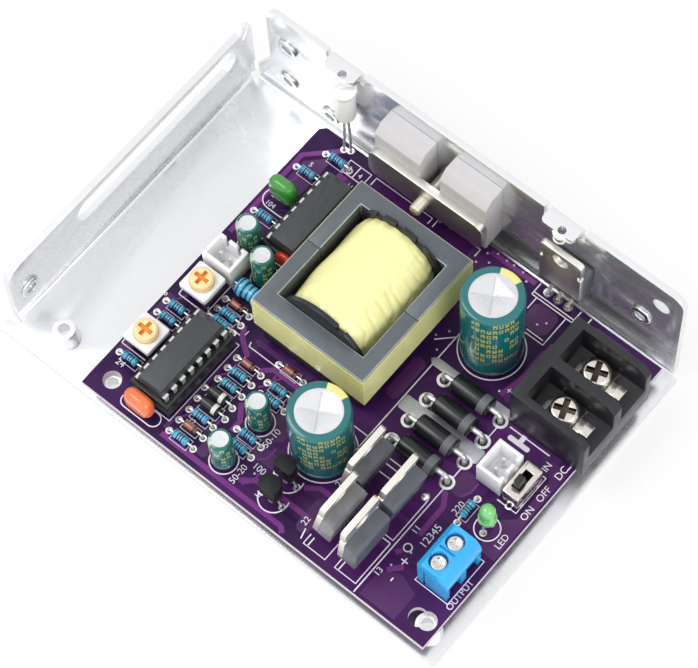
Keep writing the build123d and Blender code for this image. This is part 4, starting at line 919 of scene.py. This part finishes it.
leg_feet = [tuple(tips(group)[0].xy) for node in PIN_NODES for group in pieces(node)]
feet = [tips(group)[0] for group in pieces("power_transistor_frames")]
transistor_feet = [(foot.x, foot.y) for foot in feet if foot.z < UNDER]
red_feet = [tuple(on_board(*leg).xy) for leg in RED_LEGS]
small_holes = small_feet + radial_feet + leg_feet + sensor_feet + transistor_feet + red_feet
solder_tree, hole_shade_tree, ring_tree = studs_tree(SOLDER), studs_tree(HOLE_SHADE), rings_tree(SOLDER)


def solder_cones(name, spots, top, foot, height):
    """Solder drawn up round each leg under the board, widest at its pad."""
    scatter(name, [(x, y, UNDER - height * MM) for x, y in spots], solder_tree, SOLDER,
            Base_Radius=foot, Top_Radius=top, Height=height)


def ring_pads(name, spots, outer, inner):
    """Plated rings round the holes, with painted shade as dark discs in their mouths."""
    scatter(name, [(x, y, TOP + 0.02 * MM) for x, y in spots], ring_tree, SOLDER,
            Radius=(outer + inner) / 2, Width=outer - inner, Thickness=0.08)
    scatter(name + "_mouths", [(x, y, TOP) for x, y in spots], hole_shade_tree, HOLE_SHADE,
            Base_Radius=inner + 0.03, Top_Radius=inner, Height=0.03)


solder_cones("solder_cones_small", small_holes, top=0.85, foot=0.35, height=0.45)
solder_cones("solder_cones_large", diode_feet, top=1.6, foot=0.75, height=0.6)
front_pad = (centre(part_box("slide_switch_cover")).x, on_board(0, 33.2).y)
ring_pads("pads_small", small_feet + radial_feet + sensor_feet + [front_pad], outer=0.78, inner=0.4)
ring_pads("pads_middle", transistor_feet, outer=1.05, inner=0.55)
ring_pads("pads_large", diode_feet, outer=1.62, inner=1.05)
via_places = [
    (44.5, 75.0), (47.4, 75.1), (49.8, 75.0), (51.6, 75.1), (54.0, 75.0), (45.6, 73.9), (47.2, 72.4),
    (45.0, 70.9), (66.7, 51.4), (50.6, 55.3), (49.0, 53.0), (51.2, 50.6), (36.2, 73.6), (33.6, 73.4),
    (55.8, 73.8), (53.2, 73.3), (63.5, 67.6), (64.8, 69.0), (74.8, 13.6), (56.6, 24.4), (54.2, 20.8),
    (20.0, 33.0), (73.4, 9.2), (40.2, 6.9)]
scatter("vias", [on_board(x, y) for x, y in via_places], studs_tree(TINNED_AREA), TINNED_AREA,
        Base_Radius=0.27, Top_Radius=0.22, Height=0.03)
blob = [(1.0, 0.01), (0.9, 0.25), (0.55, 0.55), (0.2, 0.68), (0, 0.7)]
turned("solder_blob", [(blob, on_board(69.6, 24.5), UPWARD)], SOLDER, [], 24)

# Print and copper on the board, in millimetres from its front left corner

INK = 0.012
COPPER = 0.01


def ring_path(middle, r, start=0.0, sweep=math.tau, steps=40):
    """A printed circle, or an open arc where its sweep is less than a turn."""
    closed = sweep >= math.tau
    spots = []
    for i in range(steps if closed else steps + 1):
        a = start + sweep * i / steps
        out = Vector((math.cos(a), math.sin(a))) * r * MM
        spots.append(Vector((*(middle.xy + out), TOP + INK * MM)))
    return spots, closed


def frame_path(box, margin):
    """A printed rectangle round a box."""
    x0, y0 = box[0].xy - Vector((1, 1)) * margin * MM
    x1, y1 = box[1].xy + Vector((1, 1)) * margin * MM
    return [Vector((x, y, TOP + INK * MM)) for x, y in ((x0, y0), (x1, y0), (x1, y1), (x0, y1))], True


def capsule(x0, y0, x1, y1, steps=8):
    """A long rounded outline round a dipped capacitor."""
    r = (y1 - y0) / 2
    spots = []
    for x, start in ((x1 - r, -math.pi / 2), (x0 + r, math.pi / 2)):
        for i in range(steps + 1):
            a = start + math.pi * i / steps
            spots.append(on_board(x + r * math.cos(a), y0 + r + r * math.sin(a), INK))
    return spots, True


def open_paths(rows, level):
    return [([on_board(x, y, level) for x, y in row], False) for row in rows]


outlined = ("resistor_bodies", "glass_diode_bodies", "black_diode_bodies")
part_lines = [frame_path(box, 0.3) for node in outlined for box in islands(node)]
bold_lines = [frame_path(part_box(node), margin) for node, margin in (
    ("chip_socket_1", 0.4), ("chip_socket_2", 0.4), ("output_terminal_block", 0.35))]
bold_lines += [ring_path(centre(box), size(box).x / 2 + 0.5)
               for node in (*BULK_SLEEVES, "small_capacitor_sleeves") for box in islands(node)]
bold_lines += [ring_path(centre(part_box("indicator_led")), 2.65), ring_path(on_board(73.7, 14.0), 0.85)]
bold_lines += [ring_path(centre(box), 3.2, math.radians(-200), math.radians(220))
               for box in islands("small_transistors")]
bold_lines += [capsule(8.6, 1.3, 18.4, 4.5), capsule(1.0, 53.5, 9.6, 58.4)]
bold_lines += open_paths([
    [(2.2, 28.4), (2.4, 27.1), (9.5, 27.1)], [(9.6, 36.0), (9.6, 27.9), (18.2, 27.9)],
    [(0.5, 12.6), (0.6, 11.6), (6.9, 11.6)], [(21.0, 28.2), (21.3, 27.2), (52.6, 27.2)],
    [(52.6, 56.4), (52.6, 23.4)], [(49.4, 52.0), (52.6, 55.2)], [(71.3, 46.0), (71.3, 0.3)],
    [(70.5, 24.2), (70.5, 13.3), (64.9, 13.3)], [(70.5, 12.5), (65.0, 12.5)],
    [(70.5, 12.5), (70.5, 1.8), (65.2, 1.8), (65.2, 4.0)], [(66.1, 4.0), (66.1, 2.0)],
    [(62.7, 6.0), (62.7, 1.8), (57.2, 1.8), (57.2, 4.2)], [(58.2, 4.0), (58.2, 2.0)],
    [(58.6, 26.3), (62.0, 26.3)], [(59.0, 25.0), (61.8, 25.0)], [(59.0, 22.9), (61.8, 22.9)],
    [(56.2, 2.2), (55.6, 4.4)], [(10.0, 69.8), (15.6, 69.8), (15.6, 72.9), (10.0, 72.9), (10.0, 69.8)],
    [(12.8, 69.8), (12.8, 72.9)], [(16.9, 71.0), (16.9, 73.0), (31.8, 73.0), (31.8, 71.4)],
    [(33.0, 71.4), (33.0, 73.6), (44.0, 73.6), (44.0, 71.6)], [(58.5, 73.0), (68.5, 73.0)],
    [(58.5, 72.3), (68.5, 72.3)], [(67.2, 72.3), (67.2, 64.7), (62.4, 64.7)],
    [(66.6, 65.5), (62.4, 65.5)], [(59.7, 72.3), (59.7, 69.2)], [(68.7, 75.4), (68.7, 72.3)],
    [(58.4, 75.3), (58.4, 72.3)], [(71.3, 75.4), (71.3, 73.6)],
    [(80.9, 32.9), (85.6, 32.9), (85.6, 42.4), (84.8, 42.4)], [(73.2, 46.6), (83.2, 46.6)],
    [(87.9, 46.6), (87.9, 60.0)],
], INK)
legend_tree = lines_tree(LEGEND)
lines("printed_part_outlines", part_lines, legend_tree, 0.17, 0.02, LEGEND)
lines("printed_lines", bold_lines, legend_tree, 0.27, 0.02, LEGEND)


def flat_shapes(name, shapes, material, level):
    """Flat areas of copper or print, each a thin slab with a sloping rim."""
    slope, rim_share = 0.06, 0.3
    bm = bmesh.new()
    for shape in shapes:
        mid = Vector((sum(p[0] for p in shape), sum(p[1] for p in shape))) / len(shape)
        rim = [bm.verts.new(on_board(x, y, level * rim_share)) for x, y in shape]
        top = []
        for x, y in shape:
            inner_x = x - slope * (1 if x > mid.x else -1)
            inner_y = y - slope * (1 if y > mid.y else -1)
            top.append(bm.verts.new(on_board(inner_x, inner_y, level)))
        bm.faces.new(top)
        for i in range(len(shape)):
            j = (i + 1) % len(shape)
            bm.faces.new((rim[i], rim[j], top[j], top[i]))
    bmesh.ops.recalc_face_normals(bm, faces=bm.faces)
    bmesh.ops.triangulate(bm, faces=[f for f in bm.faces if len(f.verts) > 4])
    return dress(to_object(name, meshed(name, bm)), material)


def bar(x0, y0, x1, y1, c=0.4):
    """A rectangle with its corners cut off."""
    return [(x0 + c, y0), (x1 - c, y0), (x1, y0 + c), (x1, y1 - c),
            (x1 - c, y1), (x0 + c, y1), (x0, y1 - c), (x0, y0 + c)]


tinned = [bar(51.6, 47.4, 72.4, 49.4, 0.9), bar(52.8, 35.9, 73.0, 39.3)]
flat_shapes("tinned_areas", tinned, TINNED_AREA, 0.03)
printed = [bar(74.2, 44.3, 79.4, 45.4, 0.3), bar(76.3, 45.4, 77.4, 46.9, 0.1)]
flat_shapes("printed_bars", printed, LEGEND, 0.02)
flat_shapes("copper_pours", [
    bar(60.2, 65.9, 66.4, 71.8, 1.0),
    [(84.2, 22.4), (88.4, 22.4), (88.4, 46.0), (84.2, 46.0), (86.6, 42.0), (86.6, 32.0), (84.2, 30.0)],
    [(72.4, 0.8), (81.0, 0.8), (81.0, 7.4), (76.4, 9.0), (72.4, 7.0)], bar(48.8, 36.6, 51.9, 47.0, 0.8),
    [(2.4, 59.6), (7.0, 59.6), (7.0, 71.0), (2.4, 66.6)],
    [(10.4, 63.6), (13.6, 63.6), (13.6, 69.0), (10.4, 69.0)],
    [(0.6, 9.8), (3.2, 9.8), (3.2, 26.2), (0.6, 26.2)],
    [(19.3, 2.9), (20.3, 2.9), (20.3, 25.4), (19.3, 24.4)], bar(27.9, 2.9, 30.3, 8.4, 0.5),
    bar(36.6, 9.6, 43.0, 12.6, 0.8), bar(35.6, 14.4, 40.2, 25.4, 1.2), bar(21.6, 28.6, 34.0, 29.7, 0.3),
    bar(67.9, 50.3, 70.2, 64.6, 0.9), bar(53.4, 3.2, 56.6, 11.6, 0.9), bar(62.9, 9.8, 64.7, 26.0, 0.5),
    bar(72.0, 28.4, 75.8, 34.0, 0.9), bar(72.2, 66.0, 83.0, 74.6, 1.4),
], POUR, 0.006)

track_tree = lines_tree(TRACE)
wide_tracks = [
    [(1.2, 44.5), (1.2, 67.5), (6.8, 73.0), (9.3, 75.4)], [(20.0, 1.7), (51.4, 1.7), (52.6, 0.7)],
    [(17.5, 30.0), (19.2, 27.6), (22.6, 25.2)], [(26.4, 24.4), (28.6, 26.4), (35.0, 26.4)],
    [(28.2, 16.8), (30.6, 13.6), (30.6, 10.9)], [(38.6, 3.9), (41.6, 6.0), (43.0, 6.0)],
    [(71.9, 27.8), (73.7, 25.0), (73.7, 17.4)], [(45.4, 6.4), (54.6, 6.4)],
    [(49.8, 10.8), (52.6, 12.7), (55.4, 12.7)], [(68.9, 66.0), (68.9, 58.0), (67.4, 50.8)],
    [(73.4, 7.8), (75.6, 10.4)], [(72.4, 11.8), (73.2, 12.9)], [(46.0, 74.6), (57.6, 74.6)],
    [(15.9, 68.4), (19.0, 68.4)], [(9.9, 68.6), (12.2, 68.6)],
]
lines("copper_tracks", open_paths(wide_tracks, COPPER), track_tree, 1.15, 0.014, TRACE)
fine_tracks = [[(x, y), (x + aside, y + 1.6), (x + aside, y + 4.2)] for x, y, aside in (
    (20.8, 7.0, 1.2), (28.4, 7.2, -1.0), (20.6, 18.4, 1.3), (28.6, 21.5, 1.2), (3.0, 26.2, 1.0),
    (2.6, 60.4, 1.1), (38.6, 9.4, 1.5), (39.6, 3.6, 1.4), (30.0, 24.4, 1.1), (75.0, 29.0, 1.0),
    (2.2, 46.6, 1.1), (11.6, 66.8, -1.2),
)]
lines("fine_tracks", open_paths(fine_tracks, COPPER), track_tree, 0.45, 0.012, TRACE)


def label(name, words, x, y, height, turn):
    """Plain printed characters: numbers, signs and the words on a switch."""
    text = bpy.data.curves.new(name, "FONT")
    text.body = words
    text.size = height * MM
    text.extrude = 0.006 * MM
    piece = settle(placed(name + "_source", text), name)
    spin = Matrix.Rotation(math.radians(turn), 4, "Z")
    piece.data.transform(Matrix.Translation(on_board(x, y, INK)) @ spin)
    return dress(piece, LEGEND)


labels = [
    ("24", 2.4, 7.4, 2.0, 0), ("8", 0.6, 25.0, 1.8, 90), ("1", 18.6, 28.6, 1.7, 0),
    ("12", 22.4, 7.1, 1.5, 0), ("15", 32.6, 21.6, 1.5, 0), ("50-10", 38.6, 12.4, 2.0, 90),
    ("50-20", 38.4, 2.4, 2.0, 90), ("100", 38.8, 7.6, 2.0, 0), ("21", 55.2, 15.2, 1.9, 90),
    ("22", 55.2, 4.7, 1.9, 90), ("11", 73.2, 17.0, 1.9, 90), ("13", 73.0, 5.6, 1.9, 90),
    ("12345", 76.4, 15.8, 2.3, 90), ("OUTPUT", 88.35, 9.0, 1.9, 90), ("220", 76.8, 25.2, 2.0, 90),
    ("LED", 87.8, 24.8, 2.0, 90), ("ON", 88.0, 32.6, 2.1, 90), ("OFF", 88.0, 37.6, 2.1, 90),
    ("DC", 88.0, 43.6, 2.2, 90), ("IN", 84.9, 43.4, 2.0, 90), ("+", 76.2, 10.4, 3.4, 90),
    ("-", 76.2, 6.4, 3.4, 90), ("3", 10.7, 70.6, 1.7, 0), ("4", 13.5, 70.6, 1.7, 0),
    ("11", 12.9, 67.4, 1.6, 0), ("104", 2.4, 54.0, 1.6, 0), ("U", 44.2, 3.4, 1.7, 90),
    ("5", 3.8, 66.4, 1.6, 0), ("+", 69.0, 52.0, 2.2, 90), ("6", 60.6, 74.0, 1.4, 0),
]
for number, marks in enumerate(labels, 1):
    label("print_mark_" + str(number), *marks)

# Stage: pale floor, soft studio light, white surround


def seen_directly(tree):
    """One for what the camera, a reflection or a lens sees, and nought for the light that it sheds."""
    rays = add(tree, "ShaderNodeLightPath").outputs
    seen = rays["Is Camera Ray"]
    for kind in ("Is Glossy Ray", "Is Transmission Ray"):
        seen = add(tree, "ShaderNodeMath", {0: seen, 1: rays[kind]}, operation="MAXIMUM").outputs[0]
    return seen


def studio_floor():
    """A floor that takes the shadow and is nearly as white as the surround."""
    reach, drop, glow_share = 4.0, -0.3 * MM, 0.72
    white = bpy.data.materials.new("studio_floor_white")
    white.use_nodes = True
    tree = white.node_tree
    tree.nodes.clear()
    dimmed = {0: seen_directly(tree), 1: glow_share}
    share = add(tree, "ShaderNodeMath", dimmed, operation="MULTIPLY").outputs[0]
    matte = add(tree, "ShaderNodeBsdfDiffuse", {"Color": linear("F4F4F5")}).outputs[0]
    glow = add(tree, "ShaderNodeEmission", {"Color": (1, 1, 1, 1), "Strength": 1.0}).outputs[0]
    both = add(tree, "ShaderNodeMixShader", {0: share, 1: matte, 2: glow}).outputs[0]
    add(tree, "ShaderNodeOutputMaterial", {"Surface": both})
    mesh = bpy.data.meshes.new("studio_floor")
    spots = [(-reach, -reach, drop), (reach, -reach, drop), (reach, reach, drop), (-reach, reach, drop)]
    mesh.from_pydata(spots, [], [(0, 1, 2, 3)])
    mesh.materials.append(white)
    placed("studio_floor", mesh)


def studio_world():
    """A white surround that lights the object at a plain level."""
    world = bpy.data.worlds.new("studio")
    bpy.context.scene.world = world
    world.use_nodes = True
    tree = world.node_tree
    tree.nodes.clear()
    strength = add(tree, "ShaderNodeMapRange", {0: seen_directly(tree), 3: 0.7, 4: 1.0}).outputs[0]
    white = {"Color": (1, 1, 1, 1), "Strength": strength}
    add(tree, "ShaderNodeOutputWorld", {"Surface": add(tree, "ShaderNodeBackground", white).outputs[0]})


def soft_lamp(name, place, width, watts):
    """A round lamp that faces the object's middle."""
    lamp = bpy.data.lights.new(name, "AREA")
    lamp.shape = "DISK"
    lamp.size = width
    lamp.energy = watts
    obj = placed(name, lamp)
    obj.location = place
    obj.rotation_euler = (-Vector(place)).to_track_quat("-Z", "Y").to_euler()


studio_floor()
studio_world()
soft_lamp("key_lamp", (-0.35, -0.25, 0.75), 0.5, 2.7)
soft_lamp("fill_lamp", (0.6, -0.15, 0.45), 0.5, 1.9)
soft_lamp("front_lamp", (0.1, -0.75, 0.3), 1.2, 1.8)

# Camera: the photograph's, its distance in millimetres from a place on the board

IMAGE_WIDTH, IMAGE_HEIGHT = 698, 668
FOCAL_PIXELS = 2862.13
PRINCIPAL_X, PRINCIPAL_Y = 324.24, 323.87
AZIMUTH, ELEVATION, ROLL = math.radians(-45.34), math.radians(64.94), math.radians(-5.79)
DISTANCE = 580.7
TARGET = on_board(29.89, 40.62)

ahead = Vector((math.sin(AZIMUTH), math.cos(AZIMUTH), 0))
forward = ahead * math.cos(ELEVATION) - Vector(UPWARD) * math.sin(ELEVATION)
right = Vector((math.cos(AZIMUTH), -math.sin(AZIMUTH), 0))
up = right.cross(forward)
side = right * math.cos(ROLL) + up * math.sin(ROLL)
upright = up * math.cos(ROLL) - right * math.sin(ROLL)
camera = bpy.data.cameras.new("photo_camera")
camera.sensor_width = 36.0
camera.lens = FOCAL_PIXELS / IMAGE_WIDTH * camera.sensor_width
camera.shift_x = (IMAGE_WIDTH / 2 - PRINCIPAL_X) / IMAGE_WIDTH
camera.shift_y = (PRINCIPAL_Y - IMAGE_HEIGHT / 2) / IMAGE_WIDTH
camera.clip_start, camera.clip_end = 0.01, 20.0
view = placed("photo_camera", camera)
facing = Matrix((side, upright, -forward)).transposed().to_4x4()
view.matrix_world = Matrix.Translation(TARGET - forward * DISTANCE * MM) @ facing
bpy.context.scene.camera = view
bpy.context.scene.view_settings.view_transform = "Standard"
